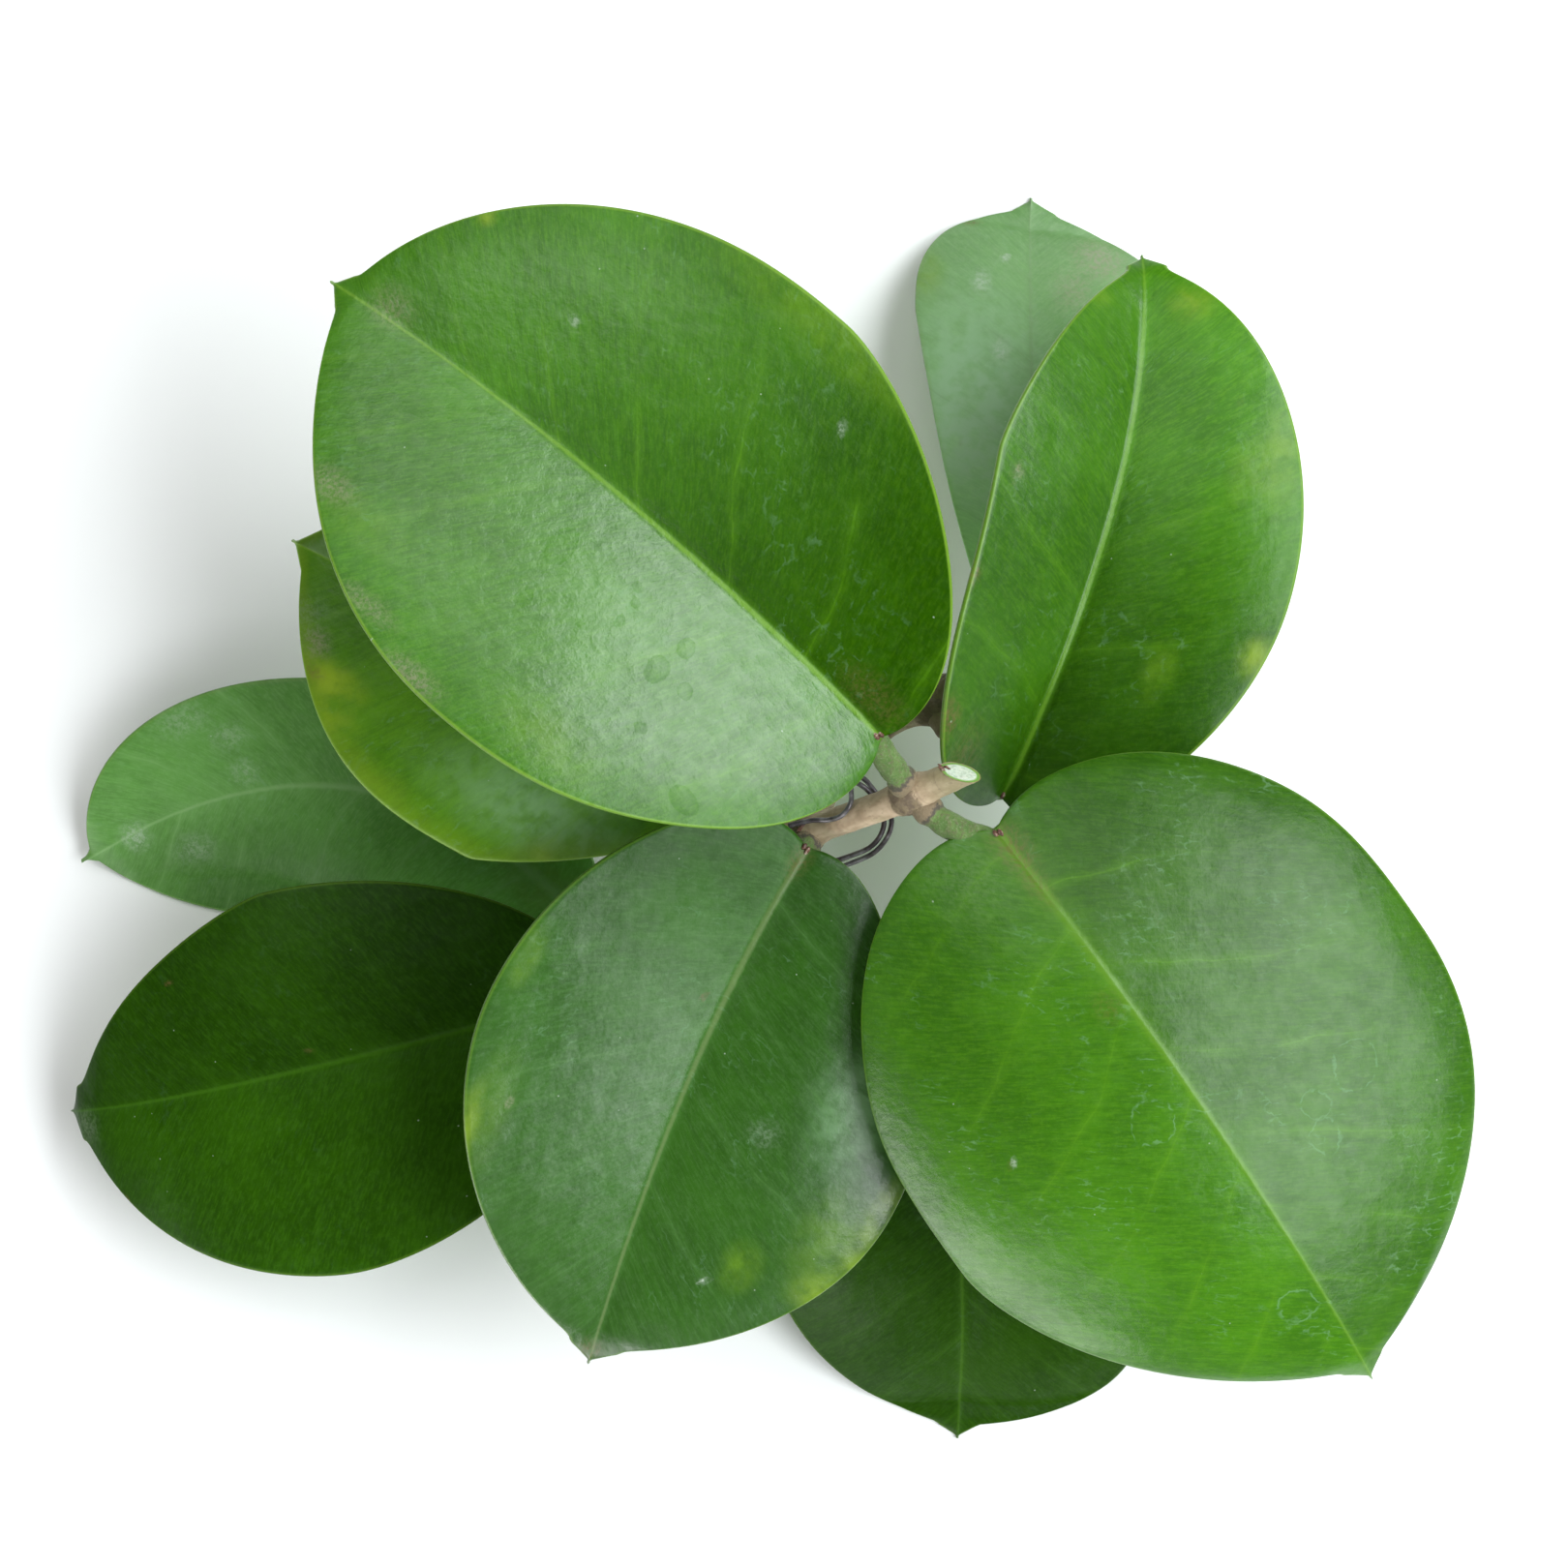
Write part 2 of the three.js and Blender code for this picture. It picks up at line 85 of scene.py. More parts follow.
NODE_UPPER = (16.9, -1.3, 50)
NODE_MIDDLE = (2.9, -6.8, 36)
NODE_LOWER = (1.3, -14.1, 17)
NODE_BACK = (-14.9, -23.8, 11)
NODE_SIDE = (20.6, 10.3, 22)


def half(half_width, widest, base_full, tip_full, lobe, fold, bend):
    """One side of a leaf, in the CAD model's words."""
    return {
        "half": half_width, "widest": widest, "base_full": base_full, "tip_full": tip_full,
        "lobe": lobe, "fold": fold, "bend": bend,
    }


LEAVES = [
    {
        "name": "leaf_front_upper", "slot": "leaf_blade",
        "base": (12.3, 6.3, 60), "middle": (-22.1, 37.9, 69), "tip": (-58.7, 65.1, 62),
        "left": half(37.5, 0.47, 2.2, 2.2, 2.8, (25, 14), 12),
        "right": half(36, 0.41, 1.5, 2.3, 1.8, (30, 14), 24),
        "cusp": 0.03, "cusp_width": 0.075, "roll": (0, 0), "wave": 0.4, "wave_phase": 0.3,
        "joint": NODE_UPPER, "petiole": (13.4, 3.4, 55.5),
    },
    {
        "name": "leaf_front_lower", "slot": "leaf_blade",
        "base": (28.1, -6.4, 52), "middle": (55.7, -43.8, 57), "tip": (78.8, -79.6, 40),
        "left": half(39.4, 0.48, 3.3, 2.2, 3.4, (-6, -6), 16),
        "right": half(40.5, 0.53, 3.8, 1.8, 5, (-2, -4), 28),
        "cusp": 0.03, "cusp_width": 0.085, "roll": (0, 0), "wave": 0.4, "wave_phase": 1.4,
        "joint": NODE_UPPER, "petiole": (21.6, -5.4, 50.5),
    },
    {
        "name": "leaf_middle_lower", "slot": "leaf_blade",
        "base": (2.9, -8.6, 42), "middle": (-12.6, -39, 41.5), "tip": (-26.6, -78.6, 32),
        "left": half(33.2, 0.53, 1.2, 2.6, 2.2, (11, 12), 34),
        "right": half(30.1, 0.52, 1.8, 2, 2.2, (21, 19), 8),
        "cusp": 0.03, "cusp_width": 0.12, "roll": (0, 0), "wave": 0.3, "wave_phase": 2.1,
        "joint": NODE_MIDDLE, "petiole": (3.1, -8.3, 39),
    },
    {
        "name": "leaf_middle_left", "slot": "leaf_blade_yellowing",
        "base": (-6.5, 0.5, 36), "middle": (-34.9, 16.6, 40), "tip": (-66.2, 32.8, 38),
        "left": half(27.3, 0.42, 1.1, 3, 1, (0, 0), 14),
        "right": half(26, 0.5, 2.1, 2.6, 1, (8, 8), 14),
        "cusp": 0.035, "cusp_width": 0.1, "roll": (0, 0), "wave": 0.3, "wave_phase": 0.9,
        "joint": NODE_MIDDLE, "petiole": (-2.4, -2.4, 36),
    },
    {
        "name": "leaf_back_left", "slot": "leaf_blade",
        "base": (-27.0, -19.9, 12.5), "middle": (-61.5, 0.0, 8.5), "tip": (-99.8, -10.9, 2),
        "left": half(23, 0.55, 2, 3.62, 0, (0, 0), 24),
        "right": half(15.2, 0.58, 2, 3.62, 0, (4, 4), 14),
        "cusp": 0.02, "cusp_width": 0.06, "roll": (10, 24), "wave": 0.3, "wave_phase": 0.2,
        "joint": NODE_BACK, "petiole": (-21.2, -20.6, 11.0),
    },
    {
        "name": "leaf_back_lower", "slot": "leaf_blade_shaded",
        "base": (-25.5, -28.9, 20), "middle": (-71.9, -40.7, 21), "tip": (-100, -46, 8),
        "left": half(29.3, 0.43, 1.9, 1.7, 0, (6, 6), 18),
        "right": half(25.1, 0.45, 2.1, 1.3, 0, (6, 6), 14),
        "cusp": 0.045, "cusp_width": 0.15, "roll": (0, 0), "wave": 0.3, "wave_phase": 1.9,
        "joint": NODE_BACK, "petiole": (-20.2, -28.3, 15.0),
    },
    {
        "name": "leaf_side_folded", "slot": "leaf_blade",
        "base": (29.6, -1.4, 28), "middle": (44.7, 39, 36), "tip": (48.8, 71.9, 30),
        "left": half(21.4, 0.54, 5, 1.3, 3.5, (50, 30), 10),
        "right": half(27.1, 0.41, 1.9, 1.9, 2, (36, 22), 40),
        "cusp": 0.035, "cusp_width": 0.13, "roll": (-4, 0), "wave": 0.3, "wave_phase": 0.6,
        "joint": NODE_SIDE, "petiole": (25.6, 4.8, 24.5),
    },
    {
        "name": "leaf_side_back", "slot": "leaf_blade_dusty",
        "base": (36.4, 12.1, 16), "middle": (34.4, 47.8, 20), "tip": (35.2, 83.5, -6),
        "left": half(16.1, 0.78, 1, 3.4, 0, (10, 10), 20),
        "right": half(23.4, 0.67, 1.8, 3, 0, (0, 0), 16),
        "cusp": 0.03, "cusp_width": 0.16, "roll": (0, 0), "wave": 0.3, "wave_phase": 2.7,
        "joint": NODE_SIDE, "petiole": (23.2, 13.6, 21),
    },
    {
        "name": "leaf_under", "slot": "leaf_blade_shaded",
        "base": (17.6, -25.5, 13), "middle": (24, -58.8, 17), "tip": (24.7, -93.2, -6),
        "left": half(26.1, 0.66, 1.9, 4.4, 0, (6, 6), 20),
        "right": half(27, 0.5, 1.9, 2.9, 0, (6, 6), 20),
        "cusp": 0.03, "cusp_width": 0.11, "roll": (0, 0), "wave": 0.3, "wave_phase": 0.0,
        "joint": NODE_LOWER, "petiole": (10.0, -19.4, 15),
    },
]

FRONT_STEM_PATH = [
    (25.4, 2.6, 58), NODE_UPPER, (9.8, -4.1, 43), NODE_MIDDLE,
    (1.6, -10.2, 27), NODE_LOWER, (-6.4, -19.6, 13), NODE_BACK, (-20.6, -25.0, 9),
]
FRONT_STEM_NODES = (NODE_UPPER, NODE_MIDDLE, NODE_LOWER, NODE_BACK)
CUT_POINT = (22.8, 1.5, 55.9)
CUT_FACING = (0.1, 0.82, 0.56)

SIDE_STEM_PATH = [
    (1.3, -14.1, 17), (3.8, -6.7, 16), (8.0, 1.8, 18), (14.2, 7.8, 20.5), NODE_SIDE,
    (27.0, 9.8, 20.5),
]

WIRE_PATH = [
    (0.6, -5.6, 41.9), (3.6, -4.9, 42.3), (6.0, -4.8, 43.3), (7.8, -4.1, 45.1), (8.9, -2.4, 45.4),
    (9.0, -0.4, 42.4), (9.6, 0.2, 39.6), (11.3, -0.9, 38.6), (12.9, -3.2, 39.6),
    (13.4, -5.0, 41.5), (12.9, -6.9, 42), (11.5, -8.5, 41.5), (9.1, -9.6, 39),
    (6.3, -10.6, 36), (3.4, -11.5, 34.0), (-0.2, -10.7, 33.4), (-1.8, -7.5, 36.2), (-0.7, -4.6, 41),
    (2.1, -2.6, 47), (5.4, -0.5, 46.5), (8.8, 1.0, 42), (10.6, 0.8, 38.8), (12.4, -1.2, 37.4),
    (14.1, -3.5, 40), (14.4, -5.4, 41.7), (13.6, -7.5, 42.1), (11.9, -9.3, 41.4),
    (9.2, -10.6, 38.4), (6.1, -11.7, 35.2), (3.0, -12.5, 32.4), (-0.8, -11.8, 31.4),
]

# Rings of the cut face from its edge inwards: share of the edge's distance, and height
CUT_RINGS = (
    (1.0, 0.0), (0.96, 0.02), (0.9, -0.03), (0.8, 0.03), (0.6, 0.06), (0.4, 0.05), (0.2, 0.02),
    (0.04, 0.0),
)

# Dried crumbs at the cut's lower end: how far in and aside they lie, and their size
CRUMBS = ((0.2, 0.0, 0.42), (0.75, 0.35, 0.34), (0.5, -0.45, 0.3), (1.2, 0.1, 0.24), (-0.2, 0.5, 0.25))

# Dried bud scales: middle, turn in plan, lean, half length and how pale
SCALES = (
    ((3.0, -5.9, 39.2), 20, 35, 1.3, 1.0), ((1.9, -6.9, 38.8), 70, -30, 1.1, 0.1),
    ((4.3, -7.6, 38.9), -30, 20, 1.0, 0.8), ((2.2, -8.2, 38.4), 110, 25, 0.9, 0.0),
    ((3.5, -6.7, 39.6), 150, -15, 0.9, 1.0),
)

# Glands: share of the midrib where they sit, then how far aside and forward, and half length
GLAND_PLACE = 0.008
GLANDS = ((-0.3, -0.15, 0.6), (0.3, -0.4, 0.5))

# Camera: straight above, so far off that the vine's middle height is at the photograph's scale
CAMERA_HEIGHT = 690.0
CAMERA_LENS = 111.1
CAMERA_SENSOR = 36.0
LIGHT_DISTANCE = 1.1         # from the middle of the surface, m
FLOOR_REACH = 1.6
FLOOR_DROP = 0.0001
WORLD_STRENGTH = 0.08

# Side veins: how far towards the tip they lean per mm from the midrib, at the base and beyond
VEIN_SLOPE = 0.3
VEIN_SLOPE_GAIN = 0.011
EDGE_SHINE_WIDTH = 12.0

# Sockets of a colour mix by number, because its names repeat
MIX_SHARE, MIX_A, MIX_B, MIX_RESULT = 0, 6, 7, 2

# Tints of the upper side, by the name of the attribute that carries them. Of the soft tints, the pale
# grey-green one is no mark but painted light: a painted sheen where the wax catches the light, and
# painted light where a leaf lies in another leaf's shadow.
SOFT_TINTS = {
    "yellow": (0.20, 0.30, 0.012), "lime": (0.12, 0.24, 0.010), "bloom": (0.22, 0.38, 0.20),
}
SPECKLED_TINTS = {
    "brown": (0.12, 0.075, 0.03), "grey": (0.17, 0.22, 0.14), "chalk": (0.36, 0.43, 0.34),
    "tan": (0.24, 0.21, 0.15),
}
MARGIN_TONE = (0.17, 0.31, 0.03)
LIME_TONE = (0.22, 0.40, 0.24)
DUST_TONE = (0.26, 0.34, 0.24)

# What a leaf shows unless LOOKS says otherwise: greens, brightness and shine of each half at the
# base and at the tip, shine at the left and the right margin, veins, marks and relief. The
# brightness of each half is painted light and shade: it stands in for how the light falls on
# that half and for the shadows that other leaves cast on it.
SHARED_LOOK = {
    "deep": (0.022, 0.092, 0.001), "mid": (0.037, 0.138, 0.002), "vein": (0.085, 0.225, 0.006),
    "rib": (0.14, 0.29, 0.02), "left": (1.0, 1.0), "right": (1.0, 1.0),
    "shine": 0.5, "left_shine": (1.0, 1.0), "right_shine": (1.0, 1.0), "edge_shine": (1.0, 1.0),
    "midrib_width": 0.5, "midrib_show": 0.6, "edge": 0.3, "edge_yellow": 0.0,
    "vein_gap": 14.0, "vein_shift": 0.0, "vein_show": 0.5, "lean": None, "curl": (0, 0),
    "dust": 0.012, "lime_marks": 0.25, "rings": (), "relief": 0.7, "gloss": 0.3, "spots": {},
}

# What each leaf shows besides; a spot is its place beside and along the midrib, two radii and
# strength, and a stain is a place where the wax is duller
LOOKS = {
    "leaf_front_upper": {
        # The right half's darkness near the base is painted shade.
        "left": (1.0, 1.2), "right": (0.5, 1.2), "vein_shift": 0.25, "midrib_width": 0.36,
        "midrib_show": 0.6, "edge": 0.6, "relief": 1.6, "shine": 0.68,
        "gloss": 0.37, "right_shine": (0.0, 1.1), "edge_shine": (0.45, 0.45),
        "spots": {
            "chalk": ((14.3, 63.8, 0.5, 0.5, 1.0), (25.8, 30.5, 0.7, 0.5, 0.6)),
            "yellow": ((18.2, 80.3, 1.2, 1.0, 0.7),),
            "tan": ((1.7, 84.4, 3.0, 3.5, 0.35), (-22.3, 75.9, 2.2, 4.0, 0.45),
                (-35.7, 51.3, 1.8, 5.0, 0.5), (-32.0, 62.0, 1.5, 5.0, 0.4)),
            # The long lime spot along the right margin is partly the leaf's own lighter green and partly
            # a painted highlight where that margin catches the light.
            "lime": ((34.3, 39.0, 4.0, 17.0, 0.3), (-24.0, 70.0, 3.0, 8.0, 0.2),
                (-31.0, 33.0, 4.0, 8.0, 0.25)),
            "brown": ((3.8, 5.8, 3.0, 5.0, 0.3),),
            "stain": ((-10.8, 47.2, 3.2, 2.0, 0.9), (-8.4, 36.6, 0.8, 0.7, 0.9),
                (-10.1, 35.2, 0.7, 0.9, 0.9), (-13.3, 35.2, 1.2, 0.9, 0.8),
                (-10.2, 26.6, 1.6, 1.3, 0.9), (-14.9, 27.7, 2.3, 1.8, 0.8),
                (-14.6, 23.3, 1.2, 1.2, 0.9), (-22.0, 24.5, 0.9, 1.2, 0.7),
                (-25.2, 14.8, 1.7, 2.3, 0.9), (-17.0, 38.8, 0.8, 0.9, 0.8),
                (-18.9, 46.5, 2.2, 1.6, 0.6)),
        },
    },
    "leaf_front_lower": {
        "deep": (0.025, 0.100, 0.002), "mid": (0.042, 0.150, 0.003),
        "left": (0.68, 0.84), "right": (0.95, 1.15), "midrib_width": 0.8, "rib": (0.11, 0.24, 0.02),
        "midrib_show": 0.55,
        "vein_gap": 12.8, "vein_show": 0.5, "edge": 0.25, "lime_marks": 0.4, "shine": 0.3,
        "curl": (0.5, 0.25), "lean": 0.67, "edge_shine": (0.75, 2.2),
        "rings": ((-19.9, 52.7, 3.4), (6.4, 42.4, 3.0), (-12.6, 53.7, 2.0), (-11.3, 58.2, 2.4),
                  (3.7, 76.5, 2.6)),
        "spots": {
            "grey": ((6.5, 5.2, 5.0, 5.0, 0.14),),
            "brown": ((-0.2, 3.9, 2.4, 4.0, 0.5), (0.3, 8.2, 1.6, 4.0, 0.35),
                (2.3, 26.4, 2.0, 2.4, 0.25), (24.9, 36.8, 0.5, 0.5, 1.0)),
            "chalk": ((24.5, 36.4, 0.4, 0.4, 0.8),),
        },
    },
    "leaf_middle_lower": {
        "deep": (0.018, 0.072, 0.004), "mid": (0.027, 0.104, 0.006), "vein": (0.07, 0.17, 0.04),
        "rib": (0.19, 0.24, 0.10), "midrib_show": 0.34, "midrib_width": 0.5, "edge": 0.25,
        "left_shine": (0.3, 0.9), "right_shine": (0.2, 1.15), "edge_shine": (1.8, 1.5),
        "left": (0.7, 0.85), "right": (0.95, 0.95), "relief": 0.6, "vein_show": 0.4, "shine": 0.5,
        "spots": {
            "yellow": ((-27.4, 60.4, 4.0, 2.8, 0.5), (-30.2, 56.6, 2.6, 4.0, 0.5),
                (-30.4, 50.6, 2.0, 5.0, 0.3), (-31.4, 45.0, 1.8, 3.6, 0.4),
                (26.6, 53.5, 1.6, 5.0, 0.5)),
            "lime": ((-26.0, 54.0, 5.0, 8.0, 0.3), (-15.6, 59.8, 2.6, 3.2, 0.42),
                (24.6, 51.0, 2.8, 8.0, 0.22), (27.4, 31.3, 1.6, 4.0, 0.5)),
            # The pale grey-green spot by the right margin is a painted sheen.
            "bloom": ((-22.5, 33.0, 5.5, 10.0, 0.36),),
            "brown": ((3.0, 27.5, 0.35, 0.35, 1.0), (0.4, 75.5, 2.0, 1.5, 0.4),
                (0.0, 3.0, 1.8, 3.0, 0.4)),
            "tan": ((22.2, 48.7, 0.5, 0.4, 1.0),),
            "chalk": ((-11.5, 62.8, 0.5, 0.5, 1.0), (-12.2, 41.9, 2.2, 2.0, 0.15)),
            "stain": ((0.0, 78.0, 7.0, 5.0, 1.0),),
        },
    },
    "leaf_middle_left": {
        "deep": (0.034, 0.112, 0.002), "mid": (0.060, 0.170, 0.003), "edge": 0.7,
        "left": (1.3, 1.1), "edge_yellow": 0.28, "shine": 0.4,
        "spots": {
            "yellow": ((-14.6, 56.0, 2.6, 5.0, 0.8), (-19.0, 53.5, 2.6, 4.0, 0.4),
                (-22.0, 18.6, 1.2, 1.8, 0.6)),
            "brown": ((-14.6, 58.5, 1.0, 2.0, 0.5),),
            "tan": ((-10.8, 59.5, 2.0, 2.0, 0.5),),
            "lime": ((-24.7, 46.2, 2.0, 5.0, 0.3),),
            "grey": ((-8.0, 62.0, 3.0, 3.0, 0.3),),
            # The pale grey-green spot is a painted sheen on the strip beside the upper front leaf's
            # margin.
            "bloom": ((-17.0, 20.0, 6.0, 18.0, 0.42),),
        },
    },
    "leaf_back_left": {
        "deep": (0.040, 0.140, 0.010), "mid": (0.062, 0.195, 0.022), "vein": (0.13, 0.30, 0.07),
        "rib": (0.15, 0.31, 0.09), "edge": 0.2, "gloss": 0.5, "relief": 0.5,
        "midrib_width": 0.9, "midrib_show": 0.75, "vein_show": 0.9,
        "left": (1.5, 1.2), "right": (1.5, 1.2), "shine": 0.6,
        "spots": {
            "chalk": ((-0.6, 74.3, 2.4, 1.8, 0.5), (-6.1, 67.7, 2.4, 3.4, 0.3),
                (12.2, 61.9, 2.4, 3.4, 0.25), (8.3, 57.1, 2.0, 2.6, 0.25),
                (2.9, 56.3, 2.0, 2.4, 0.25)),
            "lime": ((0.7, 8.6, 5.0, 6.0, 0.45),),
        },
    },
    "leaf_back_lower": {
        "deep": (0.008, 0.031, 0.0004), "mid": (0.013, 0.048, 0.0006), "vein": (0.03, 0.095, 0.004),
        "rib": (0.04, 0.12, 0.006), "dust": 0.008, "vein_show": 0.35, "midrib_show": 0.5,
        "lime_marks": 0.05, "edge": 0.2, "left": (1.45, 1.4), "right": (1.1, 1.1), "relief": 0.5,
        "shine": 0.07,
        "spots": {
            "brown": ((2.4, 32.3, 0.4, 0.4, 0.8), (15.7, 51.4, 0.4, 0.4, 0.8),
                (-13.1, 67.5, 0.6, 0.6, 0.6)),
            "grey": ((-2.0, 74.2, 2.6, 3.0, 0.3),),
        },
    },
    "leaf_side_folded": {
        "left": (0.75, 1.0), "right": (0.55, 1.4), "midrib_show": 0.4, "midrib_width": 0.36,
        "edge": 0.45, "shine": 0.33, "right_shine": (0.5, 0.85), "vein_show": 0.35,
        "spots": {
            "lime": ((20.6, 48.3, 3.4, 6.5, 0.5), (16.9, 45.8, 2.6, 4.0, 0.3),
                (13.6, 20.1, 2.2, 3.4, 0.35), (-7.6, 68.0, 2.0, 2.0, 0.35)),
            "yellow": ((24.9, 25.2, 2.0, 2.2, 0.55), (7.0, 68.5, 3.0, 2.8, 0.4)),
            "brown": ((-20.9, 24.4, 0.6, 1.4, 1.0), (-17.6, 8.2, 2.4, 2.6, 0.8),
                (-12.0, 5.0, 3.0, 4.0, 0.35), (14.3, 54.9, 0.4, 0.4, 0.8)),
            "tan": ((-18.1, 38.2, 0.8, 1.0, 0.7),),
        },
    },
    "leaf_side_back": {
        # Its grey greens and heavy dust are partly real dust and partly painted sheen; its brightness
        # factors and its pale grey-green spot are painted light where the folded leaf beside it casts
        # its shadow.
        "deep": (0.062, 0.140, 0.040), "mid": (0.085, 0.175, 0.058), "vein": (0.12, 0.23, 0.08),
        "rib": (0.14, 0.25, 0.10), "dust": 0.12, "gloss": 0.45, "edge": 0.15, "relief": 0.5,
        "left": (3.3, 1.6), "right": (2.5, 1.5),
        "spots": {
            "bloom": ((-8.0, 46.0, 10.0, 18.0, 0.9),),
            "lime": ((-14.5, 67.1, 2.4, 4.0, 0.6),),
            "tan": ((9.9, 71.2, 4.0, 4.0, 0.6), (6.2, 65.1, 3.0, 4.0, 0.4)),
            "chalk": ((-3.5, 69.9, 0.6, 0.6, 1.0), (-6.9, 65.5, 1.4, 2.0, 0.5),
                (-4.3, 54.4, 1.3, 2.0, 0.5)),
            "brown": ((-10.0, 40.3, 0.4, 0.4, 1.0), (-8.3, 76.1, 1.2, 0.6, 0.8)),
        },
    },
    "leaf_under": {
        "deep": (0.013, 0.050, 0.0008), "mid": (0.021, 0.074, 0.0012), "vein": (0.05, 0.14, 0.01),
        "rib": (0.06, 0.15, 0.012), "dust": 0.01, "edge": 0.2, "vein_show": 0.35,
        "lime_marks": 0.1, "midrib_show": 0.4, "relief": 0.6, "shine": 0.1,
        "left": (0.8, 0.8), "right": (0.8, 0.8),
    },
}


# Curves and small sums


def unit(vectors):
    return vectors / np.linalg.norm(vectors, axis=-1, keepdims=True)


def ease(value, low, high):
    """Smooth step from 0 at low to 1 at high."""
    share = np.clip((value - low) / (high - low), 0, 1)
    return share * share * (3 - 2 * share)


def spline(points, steps):
    """Evenly spaced points of a Catmull-Rom curve through the given points, and its directions."""
    knots = np.array(points, float)
    knots = np.vstack([2 * knots[0] - knots[1], knots, 2 * knots[-1] - knots[-2]])
    share = np.linspace(0, 1, CURVE_STEPS, endpoint=False)[:, None]
    pieces = []
    for a, b, c, d in zip(knots, knots[1:], knots[2:], knots[3:]):
        pieces.append(
            b + 0.5 * share * (c - a)
            + share ** 2 * (a - 2.5 * b + 2 * c - 0.5 * d)
            + share ** 3 * (1.5 * b - 1.5 * c + 0.5 * d - 0.5 * a)
        )
    dense = np.vstack([*pieces, knots[-2]])
    lengths = np.r_[0, np.cumsum(np.linalg.norm(np.diff(dense, axis=0), axis=1))]
    even = np.linspace(0, lengths[-1], steps + 1)
    line = np.stack([np.interp(even, lengths, dense[:, axis]) for axis in range(3)], axis=1)
    return line, unit(np.gradient(line, axis=0))


def carried_frames(directions):
    """Two cross directions along a curve that never twist round it."""
    start = np.array([0.0, 0.0, 1.0])
    if abs(directions[0] @ start) > 0.9:
        start = np.array([1.0, 0.0, 0.0])
    first = []
    current = start
    for direction in directions:
        current = current - (current @ direction) * direction
        current = current / np.linalg.norm(current)
        first.append(current)
    first = np.array(first)
    return first, np.cross(directions, first)


def rough(points, size, seed):
    """Smooth noise between about -1 and 1 at each point, with lumps of the given size."""
    offset = Vector((seed * 17.3, seed * 5.1, seed * 9.7))
    flat = np.asarray(points, float).reshape(-1, 3) / size
    values = [noise.noise(Vector(point) + offset) for point in flat.tolist()]
    return np.array(values).reshape(np.asarray(points).shape[:-1])


# Mesh pieces


def grid_faces(rows, columns, closed):
    """Faces of a grid of points, wrapped round along its columns if it is closed."""
    wrap = columns if closed else columns - 1
    faces = []
    for row in range(rows - 1):
        for column in range(wrap):
            after = (column + 1) % columns
            a = row * columns + column
            b = row * columns + after
            faces.append((a, b, b + columns, a + columns))
    return faces


def end_caps(rows, columns):
    """One face across each end of a grid of points."""
    return [tuple(range(columns)), tuple(range((rows - 1) * columns, rows * columns))]


def tube_faces(rows, sides):
    """Faces of a round skin that is closed at both ends."""
    return grid_faces(rows, sides, True) + end_caps(rows, sides)


def patch(points, faces, slot, **marks):
    """A part of a mesh: points in mm, faces, a material slot number and values at each point."""
    return {"points": points.reshape(-1, 3), "faces": faces, "slot": slot, "marks": marks}


def make_piece(name, patches, materials, nodes=()):
    """Joins patches into one object in the row frame that rides on the root."""
    points = np.vstack([part["points"] for part in patches])
    faces = []
    slots = []
    start = 0
    for part in patches:
        for face in part["faces"]:
            faces.append(tuple(index + start for index in face))
        slots.extend([part["slot"]] * len(part["faces"]))
        start += len(part["points"])
    mesh = bpy.data.meshes.new(name)
    mesh.from_pydata(((points - PLAN_CENTRE) * MM).tolist(), [], faces)
    mesh.polygons.foreach_set("material_index", slots)
    for key in sorted({key for part in patches for key in part["marks"]}):
        values = [
            np.ravel(part["marks"].get(key, np.zeros(len(part["points"])))) for part in patches
        ]
        layer = mesh.attributes.new(key, "FLOAT", "POINT")
        layer.data.foreach_set("value", np.concatenate(values).astype(np.float32))
    for material in materials:
        mesh.materials.append(material)
    turned = bmesh.new()
    turned.from_mesh(mesh)
    bmesh.ops.recalc_face_normals(turned, faces=turned.faces)
    turned.to_mesh(mesh)
    turned.free()
    mesh.polygons.foreach_set("use_smooth", [True] * len(mesh.polygons))
    piece = bpy.data.objects.new(name, mesh)
    bpy.context.scene.collection.objects.link(piece)
    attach(piece, "root")
    if nodes:
        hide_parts(*nodes)
    return piece


# The blade, as in the CAD model but for a fuller tip


def midrib(leaf, along):
    """Points and directions of the midrib."""
    base, middle, tip = (np.array(leaf[key], float) for key in ("base", "middle", "tip"))
    bow = 2 * middle - (base + tip) / 2
    share = along[..., None]
    points = (1 - share) ** 2 * base + 2 * share * (1 - share) * bow + share ** 2 * tip
    slopes = 2 * (1 - share) * (bow - base) + 2 * share * (tip - bow)
    return points, unit(slopes)


def of_side(leaf, key, is_left):
    return np.where(is_left, leaf["left"][key], leaf["right"][key])


def outline_share(leaf, along, is_left):
    """Share of the full half width: a round body and a drawn-out tip."""
    widest = of_side(leaf, "widest", is_left)
    place = np.minimum(along / (1 - leaf["cusp"]), 1)
    towards_base = place < widest
    run = np.where(towards_base, widest, 1 - widest)
    base_full = of_side(leaf, "base_full", is_left)
    full = np.where(towards_base, base_full, of_side(leaf, "tip_full", is_left))
    power = np.where(towards_base, BASE_END_POWER, TIP_END_POWER)
    body = np.maximum(0, 1 - (np.abs(place - widest) / run) ** full) ** power
    from_tip = (1 - along) / leaf["cusp"]
    spread = np.where(from_tip < 1, from_tip ** TIP_HOLLOW, from_tip * np.exp(1 - from_tip))
    point = leaf["cusp_width"] * spread
    return np.cbrt(body ** 3 + point ** 3)


def half_width(leaf, along, is_left):
    end_width = np.where(along < 0.5, BASE_HALF_WIDTH, TIP_HALF_WIDTH)
    share = outline_share(leaf, along, is_left)
    return np.maximum(share * of_side(leaf, "half", is_left), end_width)


